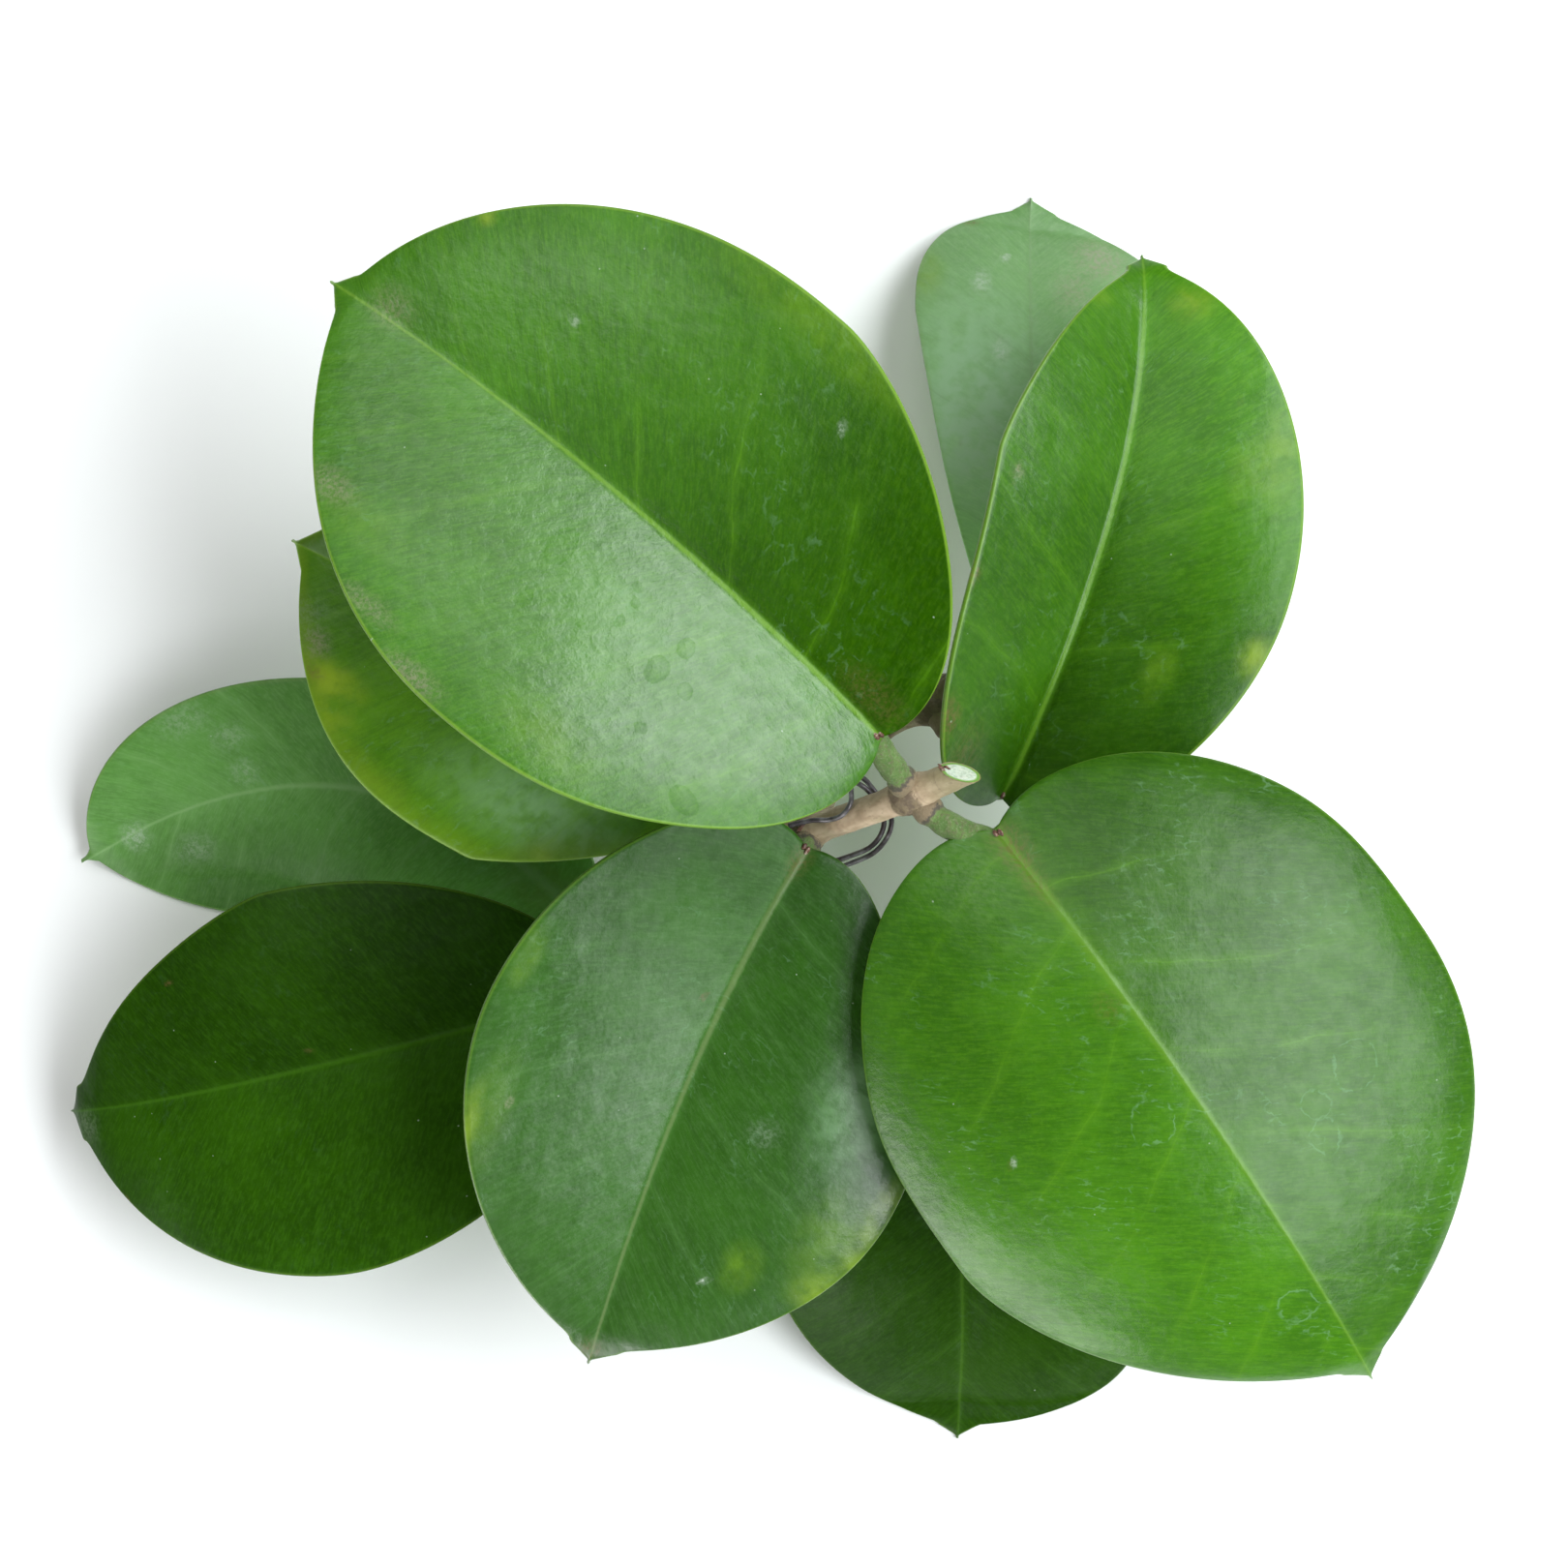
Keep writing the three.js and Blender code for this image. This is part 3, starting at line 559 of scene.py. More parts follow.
def settle(height):
    """Lets what would dip below the surface lie on it, and lifts off gradually."""
    curved = (height + SEAT_SOFTNESS) ** 2 / (4 * SEAT_SOFTNESS)
    lifted = np.where(height >= SEAT_SOFTNESS, height, curved)
    return np.where(height <= -SEAT_SOFTNESS, 0, lifted)


def between(pair, along):
    return pair[0] + (pair[1] - pair[0]) * along


def fold_of(leaf, along, is_left):
    left = between(leaf["left"]["fold"], along)
    right = between(leaf["right"]["fold"], along)
    return np.radians(np.where(is_left, left, right))


def blade_points(leaf, along, across):
    """Points of the blade's under side; across runs from -1 at the left margin to 1 at the right."""
    is_left = across < 0
    reach = np.abs(across)
    points, tangents = midrib(leaf, along)
    level = unit(np.cross(tangents, [0.0, 0.0, 1.0]))
    upright = np.cross(level, tangents)
    roll = np.radians(between(leaf["roll"], along))[..., None]
    side = level * np.cos(roll) + upright * np.sin(roll)
    up = upright * np.cos(roll) - level * np.sin(roll)

    share = outline_share(leaf, along, is_left)
    width = half_width(leaf, along, is_left) * reach
    fold = fold_of(leaf, along, is_left)
    bend = np.radians(of_side(leaf, "bend", is_left)) * share * reach + 1e-6
    out = width * (np.sin(fold) - np.sin(fold - bend)) / bend
    rise = width * (np.cos(fold - bend) - np.cos(fold)) / bend
    shift = np.where(is_left, MARGIN_SIDE_SHIFT, 0)
    turns = 2 * np.pi * WAVE_COUNT * along + leaf["wave_phase"] + shift
    wave = leaf["wave"] * reach ** 2 * np.sin(np.pi * along) * np.sin(turns)
    lobe = of_side(leaf, "lobe", is_left) * (1 - np.exp(-width / LOBE_ONSET))
    lobe = lobe * np.exp(-((along / LOBE_LENGTH) ** 2))
    backwards = -midrib(leaf, np.zeros(1))[1][0]

    points = points + side * (out * np.where(is_left, -1, 1))[..., None]
    points = points + up * (rise + wave)[..., None] + backwards * lobe[..., None]
    points[..., 2] = settle(points[..., 2])
    return points


def blade_facing(leaf, along, across):
    """The way the blade's upper side looks."""
    row = np.clip(along, FRAME_LIMIT, 1 - FRAME_LIMIT)
    column = np.clip(across, -1 + FRAME_STEP, 1 - FRAME_STEP)
    lengthwise = blade_points(leaf, row + FRAME_STEP, column)
    lengthwise = lengthwise - blade_points(leaf, row - FRAME_STEP, column)
    crosswise = blade_points(leaf, row, column + FRAME_STEP)
    crosswise = crosswise - blade_points(leaf, row, column - FRAME_STEP)
    return unit(np.cross(crosswise, lengthwise))


def leaf_length(leaf):
    line = midrib(leaf, np.linspace(0, 1, 60))[0]
    return np.linalg.norm(np.diff(line, axis=0), axis=1).sum()


def look_of(leaf):
    """A leaf's look, filled up with what the leaves share and what its length decides."""
    length = leaf_length(leaf)
    look = {**SHARED_LOOK, **LOOKS[leaf["name"]]}
    return {**look, "length": length, "ends": (0.1 * length, 0.8 * length)}


# The blade's skins and its petiole


def blade_patches(leaf, seed):
    """The upper skin with the rounded margin, and the under skin, as two patches."""
    length = leaf_length(leaf)
    full_width = leaf["left"]["half"] + leaf["right"]["half"]
    angle = np.linspace(0, np.pi, round(length * BLADE_ROWS_PER_MM))
    steps = np.linspace(-1, 1, 2 * round(full_width * BLADE_COLUMNS_PER_MM / 2) + 1)
    along, across = np.meshgrid(
        (1 - np.cos(angle)) / 2, np.sign(steps) * np.abs(steps) ** COLUMN_CROWDING, indexing="ij",
    )
    widths = half_width(leaf, along, across < 0)
    inner = across * (1 - np.minimum(RIM_REACH / widths, 0.5))
    points = blade_points(leaf, along, inner)
    facing = blade_facing(leaf, along, inner)

    beside = inner * widths
    flat = np.stack([beside, along * length, np.zeros_like(beside)], axis=-1)
    calm = ease(np.minimum(along, 1 - along), 0, 0.08)
    swell = (rough(flat, SWELL_SIZE, seed) - 0.35) * SWELL_DEPTH * calm
    points = points + facing * swell[..., None]
    curl = np.where(across < 0, *look_of(leaf)["curl"])
    curl = curl * np.clip((np.abs(across) - CURL_FROM) / (1 - CURL_FROM), 0, 1) ** 2 * calm
    points = points - facing * curl[..., None]
    points[..., 2] = np.maximum(points[..., 2], 0)

    middle = facing[:, facing.shape[1] // 2][:, None]
    upwards = unit(middle + (facing - middle) * ease(np.abs(beside), 0, CREASE_REACH)[..., None])
    height = upper_height(flat, along, across, calm, seed) + crease_filling(leaf, along, beside)
    upper = points + upwards * height[..., None]
    ridge = MIDRIB_RIDGE * (1 - along) * np.exp(-((beside / MIDRIB_HALF_WIDTH) ** 2))
    lower = points - facing * (ridge + SKIN_OFFSET)[..., None]
    lower[..., 2] = np.maximum(lower[..., 2], 0)

    left_rim = rim_points(upper[:, 0], lower[:, 0], upper[:, 0] - upper[:, 1])[:, ::-1]
    right_rim = rim_points(upper[:, -1], lower[:, -1], upper[:, -1] - upper[:, -2])
    skin = np.concatenate([lower[:, :1], left_rim, upper, right_rim, lower[:, -1:]], axis=1)
    marks = {
        "beside": beside, "along": along * length, "margin": (1 - np.abs(across)) * widths,
        **tint_marks(leaf, beside, along * length),
    }
    wide = {key: round_the_rim(values) for key, values in marks.items()}
    rows, columns = skin.shape[:2]
    top = patch(skin, grid_faces(rows, columns, False) + end_caps(rows, columns), 0, **wide)
    under = patch(lower, grid_faces(*lower.shape[:2], False), 1, **marks)
    return [top, under]


def upper_height(flat, along, across, calm, seed):
    """How far the upper skin lies above the under side: thickness, midrib groove and unevenness."""
    thick = THICK_MIDRIB + (THICK_MARGIN - THICK_MIDRIB) * np.abs(across)
    thick = thick * (TIP_THINNING + (1 - TIP_THINNING) * ease(1 - along, 0, 0.06))
    groove = GROOVE_DEPTH * np.exp(-((flat[..., 0] / GROOVE_HALF_WIDTH) ** 2))
    groove = (groove - RIDGE_HEIGHT * np.exp(-((flat[..., 0] / RIDGE_HALF_WIDTH) ** 2))) * (1 - along)
    pillow = rough(flat * [1, 0.6, 1], PILLOW_SIZE, seed + 20) * PILLOW_DEPTH
    pillow = pillow + rough(flat, PILLOW_SIZE * 0.35, seed + 40) * PILLOW_DEPTH * 0.45
    return thick - groove + pillow * ease(np.abs(across), 1, 0.9) * calm


def crease_filling(leaf, along, beside):
    """What rounds the crease where two folded halves meet at the midrib."""
    fold = (fold_of(leaf, along, True) + fold_of(leaf, along, False)) / 2
    gap = np.hypot(beside, CREASE_ROUNDING) - np.abs(beside)
    return gap * np.tan(np.maximum(fold, 0)) * ease(1 - along, 0, 0.1) * ease(along, 0, 0.05)


def round_the_rim(values):
    """Values at the upper skin's points, carried on over the rim to the under skin's edge."""
    count = len(RIM_ANGLES) + 1
    left = np.repeat(values[:, :1], count, axis=1)
    right = np.repeat(values[:, -1:], count, axis=1)
    return np.concatenate([left, values, right], axis=1)


def tint_marks(leaf, beside, along):
    """How strongly each tint shows at each point: soft spots with their centres and radii."""
    marks = {}
    for tint, spots in look_of(leaf)["spots"].items():
        for x, y, wide, long, strength in spots:
            spot = ease(np.hypot((beside - x) / wide, (along - y) / long), 1.5, 0.1) * strength
            marks[tint] = np.maximum(marks.get(tint, 0), spot)
    return marks


def rim_points(upper, lower, outwards):
    """Round points between the upper and lower edge of the margin."""
    centre = (upper + lower) / 2
    rise = (upper - lower) / 2
    outwards = unit(outwards)
    angles = np.radians(RIM_ANGLES)
    rows = [
        centre + rise * math.sin(angle) + outwards * RIM_REACH * math.cos(angle)
        for angle in angles
    ]
    points = np.stack(rows, axis=1)
    points[..., 2] = np.maximum(points[..., 2], 0)
    return points


def tube_patch(line, directions, radii, sides, slot, seed, lumps, **marks):
    """A round skin about a line, made uneven by lumps of given size and depth."""
    first, second = carried_frames(directions)
    angles = np.linspace(0, 2 * np.pi, sides, endpoint=False)
    out = first[:, None] * np.cos(angles)[None, :, None]
    out = out + second[:, None] * np.sin(angles)[None, :, None]
    points = line[:, None] + out * radii[:, None, None]
    for number, (size, depth) in enumerate(lumps):
        points = points + out * (rough(points, size, seed + number) * depth)[..., None]
    spread = {key: np.repeat(value[:, None], sides, axis=1) for key, value in marks.items()}
    return patch(points, tube_faces(len(line), sides), slot, **spread)


def petiole_patch(leaf, seed):
    """The petiole, from inside the shoot to below the blade's base."""
    places, drops = np.array(PETIOLE_UNDER_BLADE).T
    under = midrib(leaf, places)[0] - np.stack([0 * drops, 0 * drops, drops], axis=1)
    line, directions = spline([leaf["joint"], leaf["petiole"], *under], 70)
    share = np.linspace(0, 1, len(line))
    radii = np.interp(
        share, [0, PETIOLE_JOINS_BLADE, 1],
        [PETIOLE_RADIUS_STEM, PETIOLE_RADIUS_BLADE, PETIOLE_RADIUS_END],
    )
    radii = radii * np.sqrt(np.clip((1 - share) / 0.06, 0.02, 1))
    from_joint = np.linalg.norm(line - np.array(leaf["joint"]), axis=1)
    for rise, middle, width in PETIOLE_RINGS:
        radii = radii + rise * np.exp(-(((from_joint - middle) / width) ** 2))
    return tube_patch(
        line, directions, radii, 30, 2, seed, ((1.6, 0.14), (0.55, 0.06)),
        from_joint=from_joint,
    )


# Materials


class Signal:
    """A node's output; sums, products and the like of signals add further nodes."""

    def __init__(self, graph, socket):
        self.graph = graph
        self.socket = socket

    def __add__(self, other):
        return self.graph.math("ADD", self, other)

    def __sub__(self, other):
        return self.graph.math("SUBTRACT", self, other)

    def __rsub__(self, other):
        return self.graph.math("SUBTRACT", other, self)

    def __mul__(self, other):
        return self.graph.math("MULTIPLY", self, other)

    def __truediv__(self, other):
        return self.graph.math("DIVIDE", self, other)

    def __abs__(self):
        return self.graph.math("ABSOLUTE", self)

    def ramp(self, low, high, start=0.0, end=1.0):
        """Smooth step from start, where the signal is low, to end, where it is high."""
        inputs = {"Value": self, "From Min": low, "From Max": high, "To Min": start, "To Max": end}
        return self.graph.node("MapRange", inputs, "Result", interpolation_type="SMOOTHSTEP")

    def output(self, name):
        """Another output of the same node."""
        return Signal(self.graph, self.socket.node.outputs[name])


class Graph:
    """Builds one material's nodes with short calls."""

    def __init__(self, name):
        self.material = bpy.data.materials.new(name)
        self.material.use_nodes = True
        self.tree = self.material.node_tree
        self.shader = self.tree.nodes["Principled BSDF"]

    def feed(self, socket, value):
        """Links a signal to a socket, or sets it to a number, a vector or a colour."""
        if isinstance(value, Signal):
            self.tree.links.new(value.socket, socket)
        elif socket.type == "RGBA":
            socket.default_value = (*value, 1.0)
        else:
            socket.default_value = value

    def set(self, **values):
        """Sets or links the shader's sockets; an underscore stands for a space."""
        for key, value in values.items():
            self.feed(self.shader.inputs[key.replace("_", " ")], value)

    def node(self, kind, inputs, output=0, **options):
        """Adds a node with its options and inputs, and returns one of its outputs."""
        node = self.tree.nodes.new(f"ShaderNode{kind}")
        for key, value in options.items():
            setattr(node, key, value)
        for key, value in inputs.items():
            self.feed(node.inputs[key], value)
        return Signal(self, node.outputs[output])

    def mark(self, name):
        return self.node("Attribute", {}, "Fac", attribute_name=name)

    def place(self):
        return self.node("TexCoord", {}, "Object")

    def math(self, operation, *values, clamp=False):
        return self.node("Math", dict(enumerate(values)), operation=operation, use_clamp=clamp)

    def vector_math(self, operation, a, b):
        return self.node("VectorMath", {0: a, 1: b}, operation=operation)

    def vector(self, x, y, z=0.0):
        return self.node("CombineXYZ", {"X": x, "Y": y, "Z": z})

    def noise(self, vector, scale, detail=2.0, roughness=0.5):
        inputs = {"Vector": vector, "Scale": scale, "Detail": detail, "Roughness": roughness}
        return self.node("TexNoise", inputs, "Fac")

    def cells(self, vector, scale, feature="F1"):
        inputs = {"Vector": vector, "Scale": scale}
        return self.node("TexVoronoi", inputs, "Distance", feature=feature)

    def mix(self, share, a, b):
        """A blend from colour a to colour b."""
        inputs = {MIX_SHARE: share, MIX_A: a, MIX_B: b}
        return self.node("Mix", inputs, MIX_RESULT, data_type="RGBA")

    def bump(self, height, depth):
        inputs = {"Height": height, "Distance": depth * MM, "Strength": 1.0}
        return self.node("Bump", inputs, "Normal")


def vein_start(away, along):
    """Where on the midrib the side vein through a point starts; veins lean more towards the tip."""
    return (along - away * VEIN_SLOPE) / (away * VEIN_SLOPE_GAIN + 1.0)


def side_vein_mask(graph, beside, along, gap, shift, seed):
    """Thin, nearly straight lines that leave the midrib at an angle and fade out unevenly."""
    away = abs(beside)
    flat = graph.vector(beside, along, seed * 3.0)
    wander = (graph.noise(flat, 0.05, 0.0) - 0.5) * 4.0
    kinks = (graph.noise(flat, 0.16, 1.0) - 0.5) * 1.5
    start = vein_start(away, along) + (wander + kinks)
    start = start + graph.math("SIGN", beside) * (gap / 4)
    inside = graph.math("FRACT", start / gap + (50.0 + shift))
    distance = abs(inside - 0.5) * gap
    core = distance.ramp(0.06, 0.28, 0.75, 0.0)
    glow = distance.ramp(0.0, 1.3, 0.4, 0.0)
    patchy = graph.noise(flat, 0.11, 2.0).ramp(0.36, 0.6, 0.25, 1.0)
    fade = away.ramp(14.0, 36.0, 1.0, 0.1)
    return graph.math("MAXIMUM", core, glow) * patchy * fade


def crackle_mask(graph, flat, lanes):
    """Fine broken lines of dried lime, thick in some places and missing in others."""
    stretched = graph.vector_math("MULTIPLY", lanes, (1.0, 2.6, 1.0))
    bent = graph.noise(flat, 0.9, 2.0)
    moved = graph.vector_math("ADD", stretched, graph.vector(bent, bent * -1.4))
    line = graph.cells(moved, 0.6, "DISTANCE_TO_EDGE").ramp(0.01, 0.09, 1.0, 0.0)
    where = graph.noise(flat, 0.08, 3.0, 0.6).ramp(0.45, 0.64)
    broken = graph.noise(flat, 0.6, 3.0, 0.65).ramp(0.46, 0.66)
    return line * (where * broken)


def ring_mask(graph, beside, along, ring):
    """A thin, ragged and broken water mark: across, along and its radius."""
    x = beside - ring[0]
    y = along - ring[1]
    here = graph.vector(beside, along)
    ragged = (graph.noise(here, 0.3, 3.0, 0.6) - 0.5) * 3.4
    off = abs(graph.math("SQRT", x * x + y * y) + ragged - ring[2])
    broken = graph.noise(here, 0.6, 2.0).ramp(0.4, 0.58)
    return off.ramp(0.04, 0.26, 1.0, 0.0) * broken


def tinted(graph, color, look, tints, uneven):
    """Lays the tints that a leaf has over its colour, made uneven by a signal."""
    for tint, tone in tints.items():
        if tint in look["spots"]:
            share = graph.math("MULTIPLY", graph.mark(tint), uneven, clamp=True)
            color = graph.mix(share, color, tone)
    return color


def midrib_color(graph, color, beside, along, look):
    """The pale line of the midrib, wide at the base, with a faint glow beside it."""
    taper = along.ramp(0.0, look["length"], look["midrib_width"], 0.2)
    frayed = graph.noise(graph.vector(beside, along * 0.5), 1.6, 2.0)
    place = abs(beside) / taper + (frayed - 0.5) * 0.8
    color = graph.mix(place.ramp(0.0, 5.0, 0.2, 0.0), color, look["vein"])
    return graph.mix(place.ramp(0.1, 1.5, look["midrib_show"], 0.0), color, look["rib"])


def leaf_shine(graph, beside, along, margin, flat, uneven, look):
    """How strongly the wax shines: by leaf, half, distance from the base and from the margin."""
    shine = uneven.ramp(0.36, 0.72, look["shine"] * 0.86, look["shine"] * 1.12)
    if "stain" in look["spots"]:
        stain = graph.mark("stain") + (graph.noise(flat, 0.5, 2.0) - 0.5) * 0.35
        dull = stain.ramp(0.3, 0.36, 0.0, 0.5) + stain.ramp(0.3, 0.8, 0.5, 0.0)
        shine = shine - dull * stain.ramp(0.3, 0.36) * 0.22
    left, right = (along.ramp(*look["ends"], *look[key]) for key in ("left_shine", "right_shine"))
    at_edge = beside.ramp(-1.0, 1.0, *look["edge_shine"])
    return shine * beside.ramp(-1.0, 1.0, left, right) * margin.ramp(0.0, EDGE_SHINE_WIDTH, at_edge, 1.0)


def upper_material(leaf, seed):
    """The waxy upper side: mottled greens with painted light and shade on each half, midrib, side veins,
    pale margin, marks, dust and spots of painted light.
    """
    look = look_of(leaf)
    graph = Graph(f"{leaf['name']}_upper")
    beside, along, margin = (graph.mark(key) for key in ("beside", "along", "margin"))
    away = abs(beside)
    flat = graph.vector(beside, along, seed * 7.0)
    course = vein_start(away, along) if look["lean"] is None else along + beside * look["lean"]
    lanes = graph.vector(course, away * 0.22, seed * 3.0)
    streaks = graph.noise(lanes, 1.0, 3.0, 0.65)
    threads = graph.noise(lanes, 3.4, 2.0, 0.5)
    blotches = graph.noise(flat, 0.07, 3.0)
    grain = graph.noise(flat, 1.7, 3.0, 0.72)

    blend = blotches * 0.7 + streaks * 0.5
    color = graph.mix(blend.ramp(0.42, 0.78), look["deep"], look["mid"])
    lighter = (threads + grain * 0.6).ramp(0.68, 1.05, 0.0, 0.26)
    color = graph.mix(lighter, color, look["vein"])
    # Painted light and shade: each half is made lighter or darker from base to tip, as the light falls
    # on it and other leaves shade it.
    share = beside.ramp(-0.8, 0.8)
    left, right = (along.ramp(*look["ends"], *look[key]) for key in ("left", "right"))
    side = left * (1.0 - share) + right * share
    color = graph.vector_math("MULTIPLY", color, graph.vector(side, side, side))

    ragged = graph.noise(flat, 0.4, 3.0).ramp(0.3, 0.62, 0.45, 1.25)
    color = tinted(graph, color, look, SOFT_TINTS, ragged)
    veins = side_vein_mask(graph, beside, along, look["vein_gap"], look["vein_shift"], seed)
    color = graph.mix(veins * look["vein_show"], color, look["vein"])
    color = midrib_color(graph, color, beside, along, look)
    band = (margin + (blotches - 0.5) * 10.0).ramp(0.0, 5.0, look["edge_yellow"], 0.0)
    color = graph.mix(band, color, SOFT_TINTS["yellow"])
    color = tinted(graph, color, look, SPECKLED_TINTS, grain.ramp(0.4, 0.62, 0.25, 1.1))
    color = graph.mix(margin.ramp(0.0, 0.34, look["edge"], 0.0), color, MARGIN_TONE)

    dusty = graph.noise(flat, 0.7, 3.0, 0.7)
    dust = (dusty + grain * 0.3).ramp(0.5, 0.95, 0.0, look["dust"])
    marks = crackle_mask(graph, flat, lanes) * look["lime_marks"]
    for ring in look["rings"]:
        marks = graph.math("MAXIMUM", marks, ring_mask(graph, beside, along, ring) * 0.4)
    color = graph.mix(marks * 0.5, color, LIME_TONE)
    color = graph.mix(dust, color, DUST_TONE)
    specks = graph.cells(flat, 0.32)
    chosen = graph.math("GREATER_THAN", specks.output("Color"), 0.62)
    color = graph.mix(specks.ramp(0.02, 0.05, 0.5, 0.0) * chosen, color, SPECKLED_TINTS["chalk"])

    wrinkles = graph.noise(graph.vector_math("MULTIPLY", flat, (1.0, 0.75, 1.0)), 0.6, 2.0, 0.45)
    uneven = wrinkles * 0.8 + grain * 0.25
    graph.set(
        Base_Color=color, IOR=1.5,
        Roughness=graph.math("MAXIMUM", dust, marks) * 0.3 + look["gloss"],
        Normal=graph.bump(wrinkles + grain * 0.45, 0.1 * look["relief"]),
        Specular_IOR_Level=leaf_shine(graph, beside, along, margin, flat, uneven, look),
    )
    return graph.material


def under_material():
    """The paler, duller under side with its standing midrib."""
    graph = Graph("leaf_under_side")
    beside, along = graph.mark("beside"), graph.mark("along")
    flat = graph.vector(beside, along)
    blotches = graph.noise(flat, 0.12, 4.0)
    color = graph.mix(blotches.ramp(0.3, 0.7), (0.10, 0.24, 0.05), (0.16, 0.33, 0.08))
    veins = side_vein_mask(graph, beside, along, 14.0, 0.0, 3) * 0.6
    rib = abs(beside).ramp(0.5, 1.8, 0.7, 0.0)
    color = graph.mix(graph.math("MAXIMUM", veins, rib), color, (0.27, 0.42, 0.14))
    normal = graph.bump(graph.noise(flat, 3.0, 3.0) + veins * 2.0, 0.04)
    graph.set(Base_Color=color, Roughness=blotches.ramp(0.2, 0.8, 0.5, 0.62), Normal=normal)
    return graph.material


def petiole_material():
    """Green skin with olive flecks, fine painted highlights and a soft sheen, corky brown where it
    leaves the shoot.
    """
    graph = Graph("petiole_skin")
    place = graph.place()
    blotches = graph.noise(place, 800.0, 4.0, 0.65)
    fine = graph.noise(place, 3000.0, 3.0, 0.6)
    color = graph.mix(blotches.ramp(0.32, 0.68), (0.055, 0.118, 0.016), (0.098, 0.180, 0.034))
    flecks = graph.noise(place, 1600.0, 4.0, 0.7).ramp(0.46, 0.64, 0.0, 0.7)
    color = graph.mix(flecks, color, (0.085, 0.078, 0.034))
    # Fine pale specks: painted highlights.
    color = graph.mix(fine.ramp(0.5, 0.7, 0.0, 0.28), color, (0.28, 0.33, 0.19))
    ragged = graph.mark("from_joint") + (blotches - 0.5) * 3.0
    color = graph.mix(ragged.ramp(3.6, 4.6, 1.0, 0.0), color, (0.19, 0.14, 0.08))
    seam = abs(ragged - 3.9).ramp(0.1, 0.45, 0.85, 0.0)
    color = graph.mix(seam, color, (0.045, 0.035, 0.028))
    graph.set(Base_Color=color, Roughness=0.7, Normal=graph.bump(fine + blotches * 1.6, 0.16))
    graph.set(Sheen_Weight=0.2, Sheen_Roughness=0.5, Sheen_Tint=(0.75, 0.85, 0.6))
    return graph.material


def gland_material():
    """Dried reddish brown glands and bud scales with paler crests, which on the glands are partly
    painted highlights.
    """
    graph = Graph("gland_skin")
    spots = graph.noise(graph.place(), 1400.0, 3.0, 0.6)
    color = graph.mix(spots.ramp(0.4, 0.6), (0.060, 0.020, 0.012), (0.16, 0.075, 0.045))
    # On the glands the pale crests are partly painted highlights; on the bud scales they are the scales'
    # own paleness.
    pale = graph.math("MULTIPLY", spots.ramp(0.52, 0.66), graph.mark("pale"), clamp=True)
    crests = graph.math("MAXIMUM", pale, spots.ramp(0.6, 0.7, 0.0, 0.4))
    color = graph.mix(crests, color, (0.46, 0.40, 0.33))
    graph.set(Base_Color=color, Roughness=0.5, Normal=graph.bump(spots, 0.15))
    return graph.material


def stem_material(name, bark, pale, dark, node_color):
    """Bark with lengthwise pale mottling, green tinges and brown cork at the nodes."""
    graph = Graph(name)
    place = graph.place()
    along = graph.mark("along")
    around = graph.vector(graph.mark("turn_x"), graph.mark("turn_y"), along * 0.45)
    fine = graph.noise(place, 2400.0, 4.0, 0.6)
    color = graph.mix(graph.noise(around, 0.8, 3.0, 0.5).ramp(0.3, 0.7), bark, pale)
    tinge = graph.noise(place, 260.0, 2.0).ramp(0.5, 0.7, 0.0, 0.35)
    green = graph.math("MAXIMUM", tinge, along.ramp(4.0, 11.0, 0.5, 0.0))
    color = graph.mix(green, color, (0.25, 0.25, 0.12))
    rings = graph.noise(graph.vector(along * 0.9, 0.0), 1.0, 3.0)
    color = graph.mix(rings.ramp(0.56, 0.72, 0.0, 0.35), color, dark)
    lumps = graph.noise(place, 900.0, 3.0, 0.65)
    cork = (graph.mark("node") + lumps * 0.7).ramp(0.72, 1.0, 0.0, 0.9)
    color = graph.mix(cork, color, graph.mix(lumps.ramp(0.4, 0.62), dark, node_color))
    pits = graph.noise(place, 1300.0, 2.0, 0.7).ramp(0.6, 0.7, 0.0, 0.75)
    color = graph.mix(pits * cork.ramp(0.1, 0.6, 0.3, 1.0), color, dark)
    height = fine * 0.5 + lumps * cork.ramp(0.0, 0.9, 0.3, 2.0)
    graph.set(Base_Color=color, Roughness=fine.ramp(0.2, 0.8, 0.6, 0.8))
    graph.set(Normal=graph.bump(height, 0.16))
    return graph.material


def cut_material():
    """Moist pale flesh with darker pores and a green rim."""
    graph = Graph("cut_flesh")
    fibres = graph.noise(graph.place(), 2200.0, 3.0, 0.6)
    edge = graph.mark("spread") + (fibres - 0.5) * 0.14
    color = graph.mix(fibres.ramp(0.35, 0.6), (0.42, 0.50, 0.38), (0.60, 0.66, 0.54))
    color = graph.mix(edge.ramp(0.74, 0.86), color, (0.16, 0.33, 0.05))
    color = graph.mix(edge.ramp(0.94, 1.0), color, (0.20, 0.12, 0.06))
    graph.set(Base_Color=color, Roughness=0.4, Normal=graph.bump(fibres, 0.08))
    graph.set(Subsurface_Weight=0.1, Subsurface_Scale=0.001)
    return graph.material


def wire_material():
    """Dull dark wire with paler rubbed lengths."""
    graph = Graph("tie_wire_metal")
    place = graph.place()
    rubbed = graph.noise(place, 260.0, 3.0, 0.6)
    fine = graph.noise(place, 3000.0, 2.0)
    color = graph.mix(rubbed.ramp(0.45, 0.65), (0.06, 0.05, 0.055), (0.22, 0.21, 0.22))
    graph.set(Base_Color=color, Metallic=0.55, Roughness=fine.ramp(0.2, 0.8, 0.32, 0.5))
    graph.set(Normal=graph.bump(fine, 0.02))
    return graph.material


# Shoots, wire and small growths


